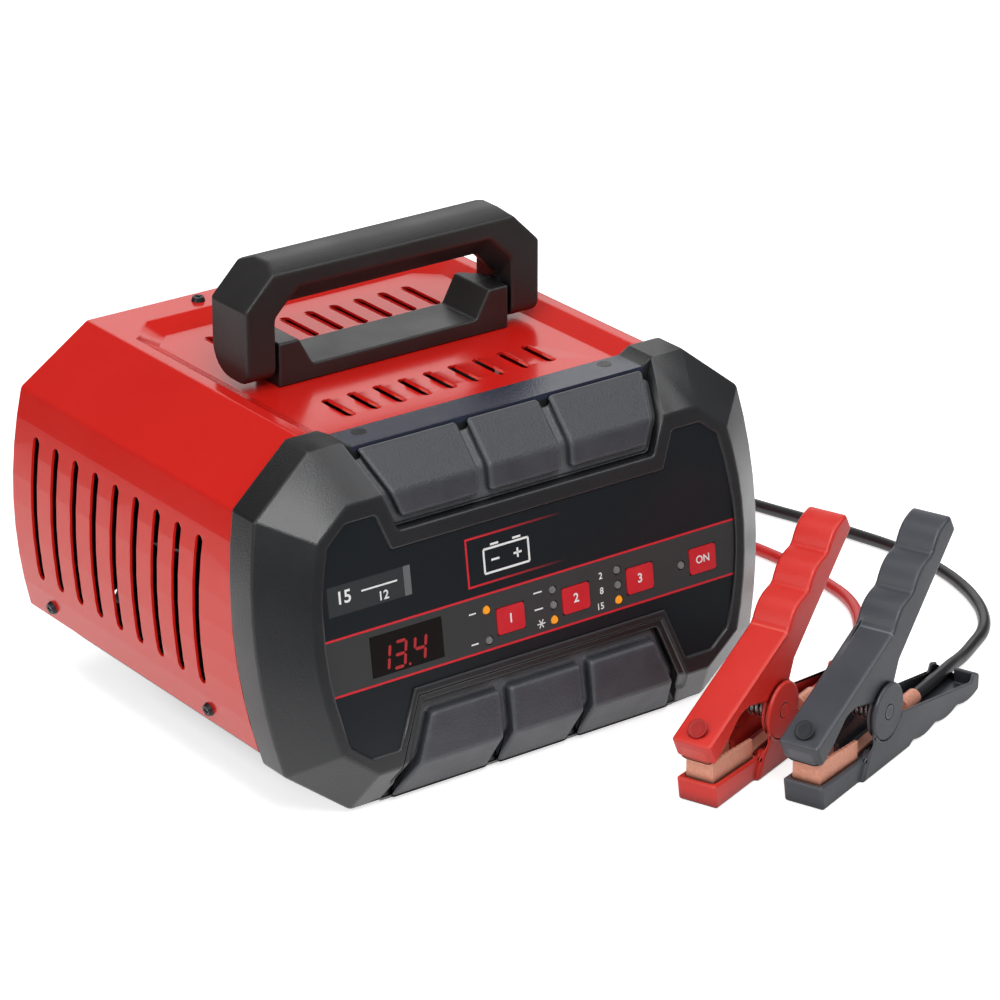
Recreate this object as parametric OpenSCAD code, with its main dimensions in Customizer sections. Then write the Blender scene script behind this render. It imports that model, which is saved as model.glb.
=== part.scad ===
// Car battery charger: folded steel cover, moulded front bezel with rubber
// bumpers, folding carry handle, and two insulated clamps on free leads.
// X runs along the front, Y from the front to the back, Z up. The origin is
// on the floor, at the centre of the charger without its leads and clamps.

/* [Overall] */
// Clearance between pieces that fit together
gap = 0.2; // [0.15:0.05:0.3]
// Diameter of the case screws
screw_d = 3; // [2.5:0.1:3.5]

/* [Cover] */
// Depth from the bezel's rear rim to the rear edge, along the top
cover_depth = 158; // [140:1:180]
// Half width at the upper and lower side corners
cover_half_w = 119; // [112:0.5:125]
// How far the side walls bulge at their middle
cover_bow = 6.2; // [0:0.2:9]
// Half width of the flat top
cover_top_half_w = 86; // [78:0.5:92]
// Height of the top rim above the floor
cover_top_z = 149.5; // [140:0.5:160]
// Height of the upper side corner
cover_corner_z = 127.5; // [120:0.5:132]
// Height of the cover's lower edge
cover_bottom_z = 28.5; // [24:0.5:34]
// Sheet thickness of the cover
cover_t = 1.2; // [0.8:0.1:1.6]
// Outer radius of the cover's folds
fold_r = 3; // [2:0.1:3.5]
// Depth of the sunk field in the top
field_drop = 4.5; // [3:0.25:6]
// Width of the slope around the sunk field
field_slope = 9; // [5:0.5:12]
// Half width of the sunk field's floor
field_half_w = 72; // [66:0.5:76]
// Flat strip left behind the sunk field
field_back_rim = 16; // [10:0.5:24]

/* [Louvers] */
// Louvers on each side wall
side_louver_n = 9; // [5:1:9]
// Spacing of the side louvers
side_louver_pitch = 15.5; // [12:0.25:15.5]
// Length of a side louver
side_louver_l = 64.5; // [50:0.5:68]
// Width of a side louver
side_louver_w = 5; // [4:0.25:6]
// Louvers in each row on the top
top_louver_n = 9; // [5:1:9]
// Spacing of the top louvers
top_louver_pitch = 12.5; // [10:0.25:13.5]
// Width of a top louver
top_louver_w = 5; // [3.5:0.25:6]
// Length of the front row's louvers
front_louver_l = 21; // [14:0.5:23]
// Length of the rear row's louvers
rear_louver_l = 26; // [16:0.5:30]
// Thickness of a louver's blade
blade_t = 1; // [0.8:0.1:1.4]

// Height of the side louvers' middle
side_louver_z = 78.75; // [74:0.25:82]
// Distance from the bezel's rim to the middle of the front row
front_louver_back = 25; // [22:0.5:28]
// Distance from the bezel's rim to the middle of the rear row
rear_louver_back = 109; // [102:0.5:114]

/* [Bezel] */
// How far the bezel leans back, in degrees
bezel_tilt = 8; // [4:0.5:10]
// Height of the bezel's shoulders
bezel_top_z = 150; // [146:0.5:156]
// Half width at the side corners
bezel_half_w = 120; // [118:0.5:124]
// How much narrower the lower side corners are
side_taper = 2; // [0:0.5:4]
// How far the bezel's sides bulge
bezel_bow = 6.6; // [4:0.2:9]
// Height of the upper side corner
bezel_corner_z = 128.5; // [124:0.5:132]
// Height of the lower side corner
bezel_low_corner_z = 23.5; // [20:0.5:28]
// Half width of the top edge
bezel_top_half_w = 93; // [88:0.5:98]
// Half width of the bottom edge
bezel_bottom_half_w = 89.5; // [86:0.5:94]
// Gap between the floor and the bezel
bezel_bottom_z = 2; // [1.5:0.25:4]
// Depth of the straight skirt
skirt_depth = 16; // [12:0.5:20]
// Depth of the slanted border
border_depth = 15; // [12:0.5:18]
// Width of the slanted border
border_w = 18.5; // [15:0.5:22]
// Wall thickness
bezel_wall = 2.5; // [2:0.1:3.2]
// Width of the flat frame around the label
frame_w = 4.6; // [3.5:0.1:6]

// Thickness of the band along the middle of the top edge
band_t = 2; // [1.6:0.1:2.4]

/* [Bumpers] */
// Depth of the pockets that hold the bumpers
pocket_depth = 6; // [4.5:0.25:7]
// Half width of the upper pocket at its lower edge
upper_pocket_half_w = 63.5; // [60:0.5:66]
// Height of the upper pocket's lower edge
upper_pocket_z = 116.2; // [114:0.2:120]
// Half width of the lower pocket at its upper edge
lower_pocket_half_w = 59; // [56:0.5:62]
// Height of the lower pocket's upper edge
lower_pocket_z = 44; // [41:0.25:46]
// Outward lean of the pocket's ends, per unit of height
pocket_flare = 0.39; // [0.3:0.01:0.45]
// Width of the middle pad
mid_pad_w = 35.5; // [32:0.5:38]
// Gap between the pads
pad_gap = 5; // [4:0.25:7]
// Gap between the pads and the pocket's edge
pad_margin = 4.6; // [3.5:0.1:6]
// Thickness of the strip that joins the pads
pad_strip_t = 1.6; // [1:0.1:2.2]
// How far the lower pads stand proud of the frame
lower_pad_proud = 1; // [0:0.1:2]
// How far the upper pads lie below the frame
upper_pad_sink = 0.6; // [0:0.1:1.5]

/* [Control panel] */
// Thickness of the label plate
label_t = 0.7; // [0.6:0.1:1.4]
// Depth of the recess that holds the label
label_recess = 1.7; // [1:0.1:1.9]
// Height of the label's lower edge
label_low_z = 28; // [26:0.5:32]
// Height of the label's upper edge
label_high_z = 124.5; // [120:0.5:125]
// Width of the frame around the pockets
tab_frame = 7; // [5:0.25:8]
// Height of the row of keys
key_z = 67; // [62:0.5:72]
// Place of the last key, right of the middle
last_key_x = 84.8; // [82:0.2:86]
// Spacing of the keys
key_pitch = 32.8; // [30:0.2:34]
// Width of a key
key_w = 13.6; // [11:0.2:15]
// Height of a key
key_h = 11; // [9:0.2:13]
// How far a key travels
key_travel = 0.8; // [0.5:0.05:1]
// How far a key stands proud of the label
key_proud = 0.3; // [0.1:0.05:0.6]
// Diameter of the indicator lamps
lamp_d = 3.6; // [2.5:0.1:4.4]
// Spacing of the lamp rows
lamp_row_pitch = 6.3; // [5.5:0.1:7.5]
// Distance from a lamp column to its key's centre
lamp_key_gap = 11.2; // [10.6:0.1:13]
// Width of the display window
display_w = 34.5; // [30:0.5:38]
// Height of the display window
display_h = 16.8; // [14:0.2:19]
// Centre of the display window, left of the middle
display_left = 64.2; // [60:0.2:68]

// Height of the display window's middle
display_z = 68.2; // [64:0.2:72]
// Distance from the face to the control board
board_back = 10; // [9.5:0.25:13]

/* [Base] */
// Sheet thickness of the base and the rear panel
base_t = 1.2; // [0.8:0.1:1.6]
// Height of the base's underside
base_z = 8; // [6:0.5:11]
// Half width of the base's flat bottom
base_half_w = 97; // [90:0.5:102]
// Height of the base's flanges above the cover's edge
base_flange_h = 14; // [11:0.5:18]
// Diameter of the rubber feet
foot_d = 20; // [14:1:24]
// Distance of the feet from the middle
foot_x = 78; // [68:1:84]
// How far the rear panel is set in from the cover's rear edge
rear_inset = 3; // [2.5:0.1:4]

// Place of the black lead's gland
black_gland_x = 58; // [58:1:64]
// Place of the red lead's gland
red_gland_x = 88; // [82:1:88]
// Place of the mains gland, left of the middle
mains_left = 80; // [60:1:90]
// Height of the glands
gland_z = 24; // [22:0.5:34]

/* [Fan] */
// Side of the square fan
fan_w = 80; // [70:1:84]
// Depth of the fan
fan_depth = 25; // [20:1:30]
// Place of the fan's axis, left of the middle
fan_left = 45; // [35:1:55]
// Height of the fan's axis
fan_z = 78; // [68:1:84]
// Blades on the impeller
fan_blades = 7; // [5:1:9]
// Spacing of the fan's screws
fan_screw_pitch = 71.5; // [62:0.5:72.5]

/* [Electronics] */
// Width of the power board
board_w = 176; // [150:1:184]
// Depth of the power board
board_depth = 106; // [96:1:112]
// Thickness of the circuit boards
board_t = 1.6; // [1:0.1:2]
// Height of the standoffs under the power board
standoff_h = 8; // [6:0.5:12]
// Width of the heat sink
sink_w = 90; // [70:1:100]
// Height of the heat sink
sink_h = 42; // [30:1:60]
// Fins on the heat sink
sink_fins = 8; // [5:1:9]
// Width of the transformer's core
core_w = 44; // [36:1:48]
// Height of the transformer's core
core_h = 38; // [30:1:50]
// Diameter of a capacitor
cap_d = 22; // [16:0.5:24]
// Height of a capacitor
cap_h = 40; // [25:1:50]

/* [Handle] */
// Half width between the legs' inner faces
handle_inner_half_w = 59; // [54:0.5:62]
// Thickness of a leg
leg_w = 14.2; // [12:0.2:15]
// Depth of the handle
handle_depth = 26; // [22:0.5:27]
// Height of the handle's top above the floor
handle_top_z = 197; // [185:1:210]
// Height of the grip from its underside to its top
grip_h = 20; // [16:0.5:22]
// Width of the handle's outer corner cuts
handle_corner = 13; // [9:0.5:15]
// Distance from the bezel's rim back to the handle's middle plane
handle_back = 68.6; // [62:0.2:74]
// Depth of the chamfer along the grip's top edges
grip_top_cut = 8; // [3:0.5:9]
// Fall of the grip's top chamfers
grip_top_drop = 3; // [1:0.25:4]
// Size of the chamfers under the grip
grip_low_cut = 10; // [4:0.5:10]
// Height of the hinge axis above the sunk field
hinge_up = 15.6; // [15:0.1:16]
// Length of a leg below the hinge axis
leg_below = 11.9; // [10:0.1:13]
// Diameter of the hinge pins
hinge_pin_d = 5; // [4:0.25:5.5]
// Running clearance of the hinge pins, on the radius
hinge_play = 0.08; // [0.05:0.01:0.1]
// Gap between a leg and the cradle
leg_gap = 1.5; // [0.5:0.1:2]
// Height of the cradle's end blocks
cradle_h = 19; // [16:0.5:20]
// Height of the cradle's low middle
cradle_low_h = 7.2; // [5:0.2:10]
// Width of the cradle's end blocks at the top
cradle_block_w = 10; // [8:0.5:14]

/* [Clamps] */
// Width of a clamp at the jaws
clamp_w = 18; // [16:0.5:20]
// Length of the lower arm
clamp_l = 131; // [126:1:138]
// Wall of the moulded arms
arm_wall = 2.4; // [2:0.1:3]
// Radius of the round pivot bosses
boss_r = 12.3; // [11:0.1:13]
// Thickness of the outer pivot cheeks
cheek_t = 1.6; // [1.2:0.1:2]
// Distance from the jaw tip to the pivot
pivot_u = 48.7; // [46:0.1:52]
// Height of the pivot above the floor
pivot_h = 24.8; // [23:0.1:26]
// Diameter of the pivot pin
pivot_d = 6; // [4:0.25:7]
// Running clearance of the pivot pin, on the radius
pivot_play = 0.08; // [0.05:0.01:0.1]
// Height of the lower jaw's plastic
jaw_h = 11; // [9:0.25:12]
// Height of the finger ridges on the upper arm
hump_h = 3; // [1.5:0.25:3.5]
// Finger ridges on each arm
hump_n = 3; // [2:1:4]
// Thickness of the copper jaws
copper_t = 1.6; // [1:0.1:2]
// Wire diameter of the spring
spring_wire = 1.8; // [1.2:0.1:2]
// Turns of the spring
spring_turns = 4; // [2:1:4]

/* [Leads] */
// Outer diameter of a lead
lead_d = 5.6; // [4.4:0.1:5.8]
// Diameter across the middle of a coil's turns
coil_d = 60; // [56:1:62]
// Turns in each layer of the black coil
black_coil_turns = 2; // [1:0.5:2.5]
// Turns in each layer of the red coil
red_coil_turns = 2.5; // [1:0.5:2.5]
// Spacing of a coil's turns and layers
coil_pitch = 6.4; // [6.2:0.1:7]

/* [Hidden] */

// -- general --
far = 400;
bow_n = 8;
arc_step = 8;
seat = 0.05;
clear_d = screw_d + 0.4;
tight_d = screw_d + 0.1;
head_d = screw_d * 2;
head_h = screw_d * 0.6;

// -- cover and bezel --
bezel_low_half_w = bezel_half_w - side_taper;
border_angle = atan(border_depth / border_w);
top_cut = atan((bezel_top_z - bezel_corner_z) / (bezel_half_w - bezel_top_half_w));
bottom_cut = atan((bezel_low_corner_z - bezel_bottom_z) / (bezel_low_half_w - bezel_bottom_half_w));
foremost_z = bezel_bottom_z + border_w - lower_pad_proud * tan(border_angle / 2);
y_back = (cover_depth + skirt_depth + border_depth + lower_pad_proud
    + tan(bezel_tilt) * (bezel_top_z - foremost_z)) / 2;
rim_top_y = y_back - cover_depth;
face_y0 = rim_top_y - skirt_depth - border_depth - tan(bezel_tilt) * bezel_top_z;
cover_front_y = rim_top_y - tan(bezel_tilt) * bezel_top_z;

cover_slope = atan((cover_top_z - cover_corner_z) / (cover_half_w - cover_top_half_w));
cover_side_h = cover_corner_z - cover_bottom_z;
function bow_at(bow, t) = 4 * bow * t * (1 - t);
function side_z(k) = cover_corner_z - k / bow_n * cover_side_h;
side_table = [for (k = [bow_n:-1:0]) [side_z(k), cover_half_w + bow_at(cover_bow, k / bow_n)]];
function side_lean(z) = atan(lookup(z + 0.5, side_table) - lookup(z - 0.5, side_table));
side_screw_y = [rim_top_y + 16.6, y_back - 20.7];
side_screw_z = cover_bottom_z + 6;
rear_screw_x = 36;
rear_screw_back = 8;

field_z = cover_top_z - field_drop;
field_angle = atan(field_drop / field_slope);
field_back_y = y_back - field_back_rim - field_slope;
field_corner = 9;
field_front_y = cover_front_y - 5;
louver_mid_y = y_back - cover_depth / 2;
front_louver_y = rim_top_y + front_louver_back;
rear_louver_y = rim_top_y + rear_louver_back;
side_blade_depth = side_louver_w;
front_blade_rise = top_louver_w * 0.44;
rear_blade_depth = top_louver_w * 0.3;
blade_root = 0.4;
blade_end = 6;
blade_parts = 6;

band_z = field_z + gap + band_t;
band_half_w = field_half_w;
band_screw_x = 61;
band_screw_y = rim_top_y - 5.1;
band_sink = 1.4;
tongue_half_w = field_half_w - 4;
tongue_l = 11;

// -- base and rear --
flange_top_z = cover_bottom_z + base_flange_h;
flange_steps = [for (k = [bow_n:-1:0]) let (z = side_z(k)) if (z > cover_bottom_z && z < flange_top_z) z];
base_rim_y = rim_top_y - tan(bezel_tilt) * (bezel_top_z - base_z);
foot_front_y = base_rim_y + foot_d / 2 + 8;
foot_rear_y = y_back - foot_d / 2 - 6;
tray_screw_x = 61;
tray_screw_y = base_rim_y - 5.1;
tray_tongue_half_w = base_half_w - 19;
tray_tongue_y = tray_screw_y - 5;
tray_tongue_l = 20;
panel_y = y_back - rear_inset - base_t;
vent_rows = 5;
vent_columns = 6;
vent_x = 20;
vent_z = 72;
vent_pitch_x = 12;
vent_pitch_z = 13;
vent_l = 9;
vent_w = 4;
rear_flange_half_w = 60;
rear_flange_l = 9;
gland_d = 9;
gland_l = 16;
mains_d = 12;

// -- fan and electronics --
fan_hub_d = fan_w * 0.4;
fan_shaft_d = 3;
fan_plate_t = 3;
fan_pitch = 42;
fan_blade_t = 1.6;
fan_screw_l = 14;
guard_first_r = fan_w * 0.12;
guard_step_r = fan_w * 0.11;
guard_wire = 1.6;
board_y = panel_y - fan_depth - 4 - board_depth / 2;
board_z = base_z + base_t + standoff_h;
sink_x = -board_w / 2 + 8;
sink_y = board_y - 20;
sink_back_t = 4;
sink_fin_t = 2;
sink_fin_l = 18;
transistor_w = 10;
transistor_lead = 7;
transistor_body = 9;
transistor_tab = 15.5;
transistor_tab_t = 1.4;
transistor_t = 4.6;
standoff_d = 6;
standoff_pin_d = 3;
core_x = 52;
core_y = board_y + 8;
core_depth = 34;
core_leg = 14;
core_yoke = 7;
cap_x = [-64, -38];
small_cap_x = [-12, 6];
cap_y = board_y + 34;

// -- control panel --
function key_x(k) = last_key_x - (3 - k) * key_pitch;
key_gap = 0.25;
key_skirt = 1.5;
key_flange = 1.5;
lamp_proud = 0.2;
lit_lamp_list = [[0, 1], [1, -1], [2, -1]];
unlit_lamp_list = [[0, -1], [1, 1], [1, 0], [2, 1], [2, 0], [3, 0]];
board_low_z = 52;
board_high_z = 106;
control_board_half_w = 95;
post_d = 6;
post_screw_d = 2.4;
post_inset = 7;
post_x = control_board_half_w - post_inset;
post_low_z = 56;
post_high_z = 101;
switch_h = 3.5;
switch_w = 6;
pad_top_z = band_z - 1;
pad_bottom_z = bezel_bottom_z + gap;
step_w = 3.5;
step_depth = 1;

// -- handle --
handle_y = rim_top_y + handle_back;
hinge_z = field_z + hinge_up;
leg_bottom_z = hinge_z - leg_below;
leg_front_r = 6;
leg_back_r = handle_depth / 2;
handle_outer = handle_inner_half_w + leg_w;
cradle_half = handle_inner_half_w - leg_gap;
cradle_depth = handle_depth - 0.7;
cradle_screw_x = [20, 50];
cradle_screw_l = 5;
opening_cut = min(handle_corner * 0.85, handle_top_z - grip_h - hinge_z - hinge_pin_d / 2 - 0.5);
fold_room = 1.2;
fold_cut_y = handle_top_z - grip_h - opening_cut - hinge_z - fold_room;
pin_in_leg = 8;
pin_in_cradle = 9;

// -- clamps --
clamp_angle = 20.6;
black_clamp = [60.6, -192.3];
red_clamp = [27.4, -165.9];
pivot = [pivot_u, pivot_h];
clamp_body_w = clamp_w + 2 * gap - 0.1 + 2 * cheek_t;
disc_raise = 0.8;
copper_w = clamp_w - 2 * arm_wall - 0.6;
copper_h0 = arm_wall + 0.1;
neck = pivot + [6.3, 32.4];
grip_end = pivot + [52.8, 66.7];
lead_end_u = 100;
lead_end_v = 4;
lead_end_h = 7;
tail_u = 60;
tail_top_u = 61;
tail_floor_h = 3.2;
strip_h = tail_floor_h + 0.2;
strip_w = 5.2;
strip_v = 3.6;
crimp_l = 12;
tooth = 1.6;
arm_room = clamp_w + 2 * gap - 0.1;
lead_end_room = 3.2;
low_hump_u = 72.5;
low_hump_h = 1.8;
spring_rings = 8 * spring_turns + 2;
spring_first = -115;
spring_between = 258;
spring_low_end = 38 * [0.906, 0, -0.423];
spring_high_end = 49 * [0.602, 0, 0.799];

// -- leads: points chosen along each free stretch --
lead_low = lead_d / 2;
coil_rings = 24;
tie_t = 0.7;
tie_w = 5;
tie_room = 0.4;
tie_angles = [-40, 100];
coil_low_z = lead_low + tie_t + 0.1;
function coil_r(turns) = coil_d / 2 + coil_pitch * turns / 2;
black_coil_c = [15, 185];
red_coil_c = [102, 175];
black_coil_a = 270;
red_coil_a = 233;
black_start_points = [[58, 117.2, 24], [58, 124, 23], [57.4, 132, 19], [53.5, 141, 14.5], [45, 147, 11.5],
    [33, 148.6, 10]];
red_start_points = [[88, 117.2, 24], [88.5, 122, 23.2], [89.4, 127, 20], [90, 131, 15], [89.5, 134.6, 11.5],
    [88, 137.97, 10]];
black_points = [[33, 221.4, 3], [45, 221.4, 2.8], [58, 221.5, 2.8], [75, 221.5, 2.8], [92, 221, 2.8],
    [109, 220.5, 2.8], [126, 217.5, 2.8], [142, 211.5, 2.8], [157, 203, 2.8], [170, 192.5, 2.8],
    [181.5, 180, 2.8], [191.5, 166, 2.8], [200, 151, 2.8], [207, 136, 2.8], [213, 120, 2.8],
    [218.5, 104, 2.8], [223, 88, 2.8], [227.5, 72, 2.8], [231.5, 56, 2.8], [236, 40, 2.8],
    [241, 24, 2.8], [245.5, 8, 2.8], [249.5, -8, 2.8], [253, -24, 2.8], [254.5, -41, 2.8],
    [253.5, -58, 2.8], [250, -75, 2.8], [244.5, -90, 2.8], [236.5, -104, 2.8], [226, -115.5, 2.8],
    [213, -123.5, 2.8], [199, -131.6, 3.7], [185, -139.4, 6.3], [170, -146.5, 7], [161, -150.2, 7],
    [152.8, -153.4, 7]];
red_points = [[140.5, 193, 3], [152, 181, 2.8], [161.5, 167, 2.8], [169.5, 152, 2.8], [175.5, 136, 2.8],
    [180.5, 120, 2.8], [184.5, 104, 2.8], [188, 88, 2.8], [191, 72, 2.8], [194, 56, 2.8],
    [197, 40, 2.8], [200, 24, 2.8], [202.5, 8, 2.8], [204, -8, 2.8], [204.3, -24, 2.8],
    [203, -40, 2.8], [200, -56, 2.8], [193, -70.5, 2.8], [183, -83.5, 2.8], [172, -94.5, 2.8],
    [161, -105, 3.6], [149, -114.4, 6.2], [136, -120.6, 7], [128, -123.9, 7], [119.6, -127, 7]];

// ---- shared helpers ----

// Extrudes an XZ outline from one depth to another
module along_y(y0, y1) translate([0, y1, 0]) rotate([90, 0, 0]) linear_extrude(y1 - y0) children();

// Extrudes a YZ outline from one side to another
module along_x(x0, x1) translate([x0, 0, 0]) rotate([90, 0, 90]) linear_extrude(x1 - x0) children();

// Local X runs right, Y up the slanted front and Z out of it
module on_face(back) translate([0, face_y0 + back, 0]) rotate([90 - bezel_tilt, 0, 0]) children();

// Everything in front of the slanted plane that lies this far behind the face
module ahead_of(back)
    translate([0, face_y0 + back, 0]) rotate([-bezel_tilt, 0, 0])
        translate([-bezel_half_w * 2, -far, -far]) cube([bezel_half_w * 4, far, 3 * far]);

// Both the shape and its mirror image
module both_sides() { children(); mirror([1, 0, 0]) children(); }

// A slot outline with round ends, its length along Y
module slot_outline(l, w) {
    square([w, l - w], center = true);
    for (s = [-1, 1]) translate([0, s * (l - w) / 2]) circle(d = w, $fn = 24);
}

// A box with its lower corner and size given by its limits
module box(x0, x1, y0, y1, z0, z1) translate([x0, y0, z0]) cube([x1 - x0, y1 - y0, z1 - z0]);

// Screw with a pan head: the head's seat is at the origin and the shank goes down
module pan_screw(d, l, wide, high) {
    translate([0, 0, -l]) cylinder(d = d, h = l, $fn = 24);
    difference() {
        cylinder(d1 = wide, d2 = wide * 0.8, h = high, $fn = 32);
        for (a = [0, 90])
            rotate(a) translate([0, 0, high]) cube([wide * 0.6, 0.8, 1.2], center = true);
    }
}

// A round hole, shank or post along Z between two heights
module bore(d, z0, z1, sides = 24) translate([0, 0, z0]) cylinder(d = d, h = z1 - z0, $fn = sides);

// A plane outline as a flat piece on the slanted front, between two depths behind the face
module in_face(back, t) on_face(0) translate([0, 0, -back]) linear_extrude(t) children();

// Solid between rings of points, the first one facing outwards
function loft_faces(n, m) = concat(
    [[for (k = [0:n - 1]) k]],
    [for (j = [0:m - 2], k = [0:n - 1]) [j * n + k, (j + 1) * n + k, (j + 1) * n + (k + 1) % n]],
    [for (j = [0:m - 2], k = [0:n - 1]) [j * n + k, (j + 1) * n + (k + 1) % n, j * n + (k + 1) % n]],
    [[for (k = [n - 1:-1:0]) (m - 1) * n + k]]
);
module loft(rings)
    polyhedron([for (r = rings) each r], loft_faces(len(rings[0]), len(rings)), convexity = 6);

function mirrored(pts) = concat(pts, [for (k = [len(pts) - 1:-1:0]) [-pts[k].x, pts[k].y]]);
function last_of(p) = p[len(p) - 1];
function unit(v) = v / norm(v);

// Points of an arc of radius r in the corner b between a and c
function rounded(a, b, c, r) = let (
    u = unit(a - b), v = unit(c - b), half = acos(u * v) / 2,
    mid = b + unit(u + v) * r / sin(half),
    from = b + u * r / tan(half) - mid, to = b + v * r / tan(half) - mid,
    a0 = atan2(from.y, from.x), a1 = atan2(to.y, to.x),
    turn = abs(a1 - a0) > 180 ? a1 - a0 - 360 * sign(a1 - a0) : a1 - a0,
    n = ceil(abs(turn) / arc_step))
    [for (k = [0:n]) mid + r * [cos(a0 + turn * k / n), sin(a0 + turn * k / n)]];

// ---- cover ----

// Right half of the cover's outline, shrunk by e, with its folds sharp and then rounded
function cover_corners(e) = concat(
    [[cover_top_half_w - e * tan(cover_slope / 2), cover_top_z - e]],
    [for (k = [0:bow_n]) let (t = k / bow_n)
        [cover_half_w + bow_at(cover_bow, t) - e,
         cover_corner_z - t * cover_side_h - (k == 0 ? e * tan(45 - cover_slope / 2) : 0)]]
);
function cover_half(e) = let (p = cover_corners(e)) concat(
    rounded([0, p[0].y], p[0], p[1], fold_r - e),
    rounded(p[0], p[1], p[2], fold_r - e),
    [for (k = [2:len(p) - 1]) p[k]]
);
module cover_outline(e, drop = 0)
    polygon(mirrored(concat(cover_half(e), [[cover_half_w - e, cover_bottom_z - drop]])));

// Half of the sunk field's profile, shrunk into the sheet by e: distance from the middle and height
function field_profile(e) = let (
    low = [field_half_w + e * tan(field_angle / 2), field_z - e],
    high = low + [field_slope, field_drop],
    rim = rounded(high + [far, 0], high, low, fold_r - e),
    floor = rounded(high, low, [0, low.y], fold_r - cover_t + e))
    concat([[rim[0].x, cover_top_z + 1]], rim, floor);

// The sunk field as a solid, its surface moved into the sheet by e
module field(e) loft([
    for (q = field_profile(e)) let (
        out = q.x - field_half_w, back = field_back_y + out, cut = field_corner + out * (2 - sqrt(2)))
        [[-q.x, field_front_y, q.y], [-q.x, back - cut, q.y], [cut - q.x, back, q.y],
         [q.x - cut, back, q.y], [q.x, back - cut, q.y], [q.x, field_front_y, q.y]]
]);

// Places along a louver row, its slots running along Y
module louver_row(y)
    for (k = [0:top_louver_n - 1])
        translate([(k - (top_louver_n - 1) / 2) * top_louver_pitch, y, field_z]) children();
module top_slot(l) translate([0, 0, -2 * cover_t]) linear_extrude(4 * cover_t) slot_outline(l, top_louver_w);

// A pressed louver's blade, cut across: depth below the skin and distance from the slot's fixed edge
function blade_section(depth, reach) = [
    [cover_t * 0.1, -blade_root], [depth, reach],
    [depth + blade_t, reach - blade_t / 2], [cover_t * 0.9, -blade_root]];
// The blade rises to the skin at both ends of a slot of length l: place and share of the full depth
function blade_stations(l) = [
    [-l / 2, 0.02], [-l / 2 + blade_end * 0.4, 0.6], [-l / 2 + blade_end, 1],
    for (k = [1:blade_parts - 1]) [-l / 2 + blade_end + k / blade_parts * (l - 2 * blade_end), 1],
    [l / 2 - blade_end, 1], [l / 2 - blade_end * 0.4, 0.6], [l / 2, 0.02]];
module top_blade(l, depth) loft([
    for (p = blade_stations(l)) [
        for (q = blade_section(p[1] * depth, top_louver_w * (0.25 + 0.58 * p[1])))
            [q[1] - top_louver_w / 2, p[0], -q[0]]]]);

function side_louver_y(k) = louver_mid_y + (k - (side_louver_n - 1) / 2) * side_louver_pitch;

module side_slots()
    for (k = [0:side_louver_n - 1])
        along_x(-far, far)
            translate([side_louver_y(k), side_louver_z]) slot_outline(side_louver_l, side_louver_w);

module side_blades()
    for (k = [0:side_louver_n - 1])
        loft([
            for (p = blade_stations(side_louver_l)) let (
                z = side_louver_z + p[0],
                skin = lookup(z, side_table)) [
                for (q = blade_section(p[1] * side_blade_depth, side_louver_w * (0.4 + 0.55 * p[1])))
                    [skin - q[0], side_louver_y(k) - side_louver_w / 2 + q[1], z]]]);

// Where a screw sits on the side wall
module on_side_wall(y, z)
    translate([lookup(z, side_table), y, z]) rotate([0, 90 + side_lean(z), 0]) children();

module cover_screw_places() {
    both_sides() for (y = side_screw_y) on_side_wall(y, side_screw_z) children();
    for (s = [-1, 1]) translate([s * rear_screw_x, y_back - rear_screw_back, cover_top_z]) children();
}

module cradle_screw_places()
    for (x = cradle_screw_x, s = [-1, 1])
        translate([s * x, handle_y, field_z - cover_t]) rotate([180, 0, 0]) children();

module band_screw_places()
    for (s = [-1, 1]) translate([s * band_screw_x, band_screw_y, band_z]) children();

module cover() color("red") difference() {
    union() {
        difference() {
            union() {
                difference() {
                    along_y(cover_front_y, y_back) cover_outline(0);
                    along_y(cover_front_y - 1, y_back + 1) cover_outline(cover_t, 1);
                }
                intersection() {
                    field(cover_t);
                    along_y(cover_front_y, y_back) cover_outline(cover_t / 2);
                }
            }
            field(0);
            side_slots();
            louver_row(front_louver_y) top_slot(front_louver_l);
            louver_row(rear_louver_y) top_slot(rear_louver_l);
            ahead_of(border_depth + skirt_depth + gap);
        }
        box(-tongue_half_w, tongue_half_w, rim_top_y - tongue_l, rim_top_y + 2, field_z - cover_t, field_z);
        both_sides() side_blades();
        louver_row(front_louver_y) translate([0, 0, -cover_t]) rotate([0, 180, 0])
            top_blade(front_louver_l, front_blade_rise);
        louver_row(rear_louver_y) top_blade(rear_louver_l, rear_blade_depth);
    }
    cover_screw_places() bore(clear_d, -6, 2);
    cradle_screw_places() bore(clear_d, -3, 3);
    band_screw_places() bore(tight_d, -8, 0);
}

module cover_screws() color("#222222") {
    cover_screw_places() translate([0, 0, seat]) pan_screw(screw_d, 2 * screw_d, head_d, head_h);
}

// ---- base ----

function flange_pts(e) = [
    for (z = concat([cover_bottom_z], flange_steps, [flange_top_z]))
        [lookup(z, side_table) - cover_t - gap - e, z]
];
module base_outline(e, open)
    polygon(mirrored(concat(
        [last_of(flange_pts(e)) + [0, open]],
        [for (k = [len(flange_pts(e)) - 2:-1:0]) flange_pts(e)[k]],
        [[base_half_w - e * tan(22.5), base_z + e]]
    )));

module foot_places()
    for (x = [-foot_x, foot_x], y = [foot_front_y, foot_rear_y]) translate([x, y, 0]) children();

module tray_screw_places()
    for (s = [-1, 1]) translate([s * tray_screw_x, tray_screw_y, 0]) children();

module standoff_places()
    for (x = [-1, 0, 1], y = [-1, 1])
        translate([x * (board_w / 2 - 6), board_y + y * (board_depth / 2 - 6), base_z + base_t]) children();

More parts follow.
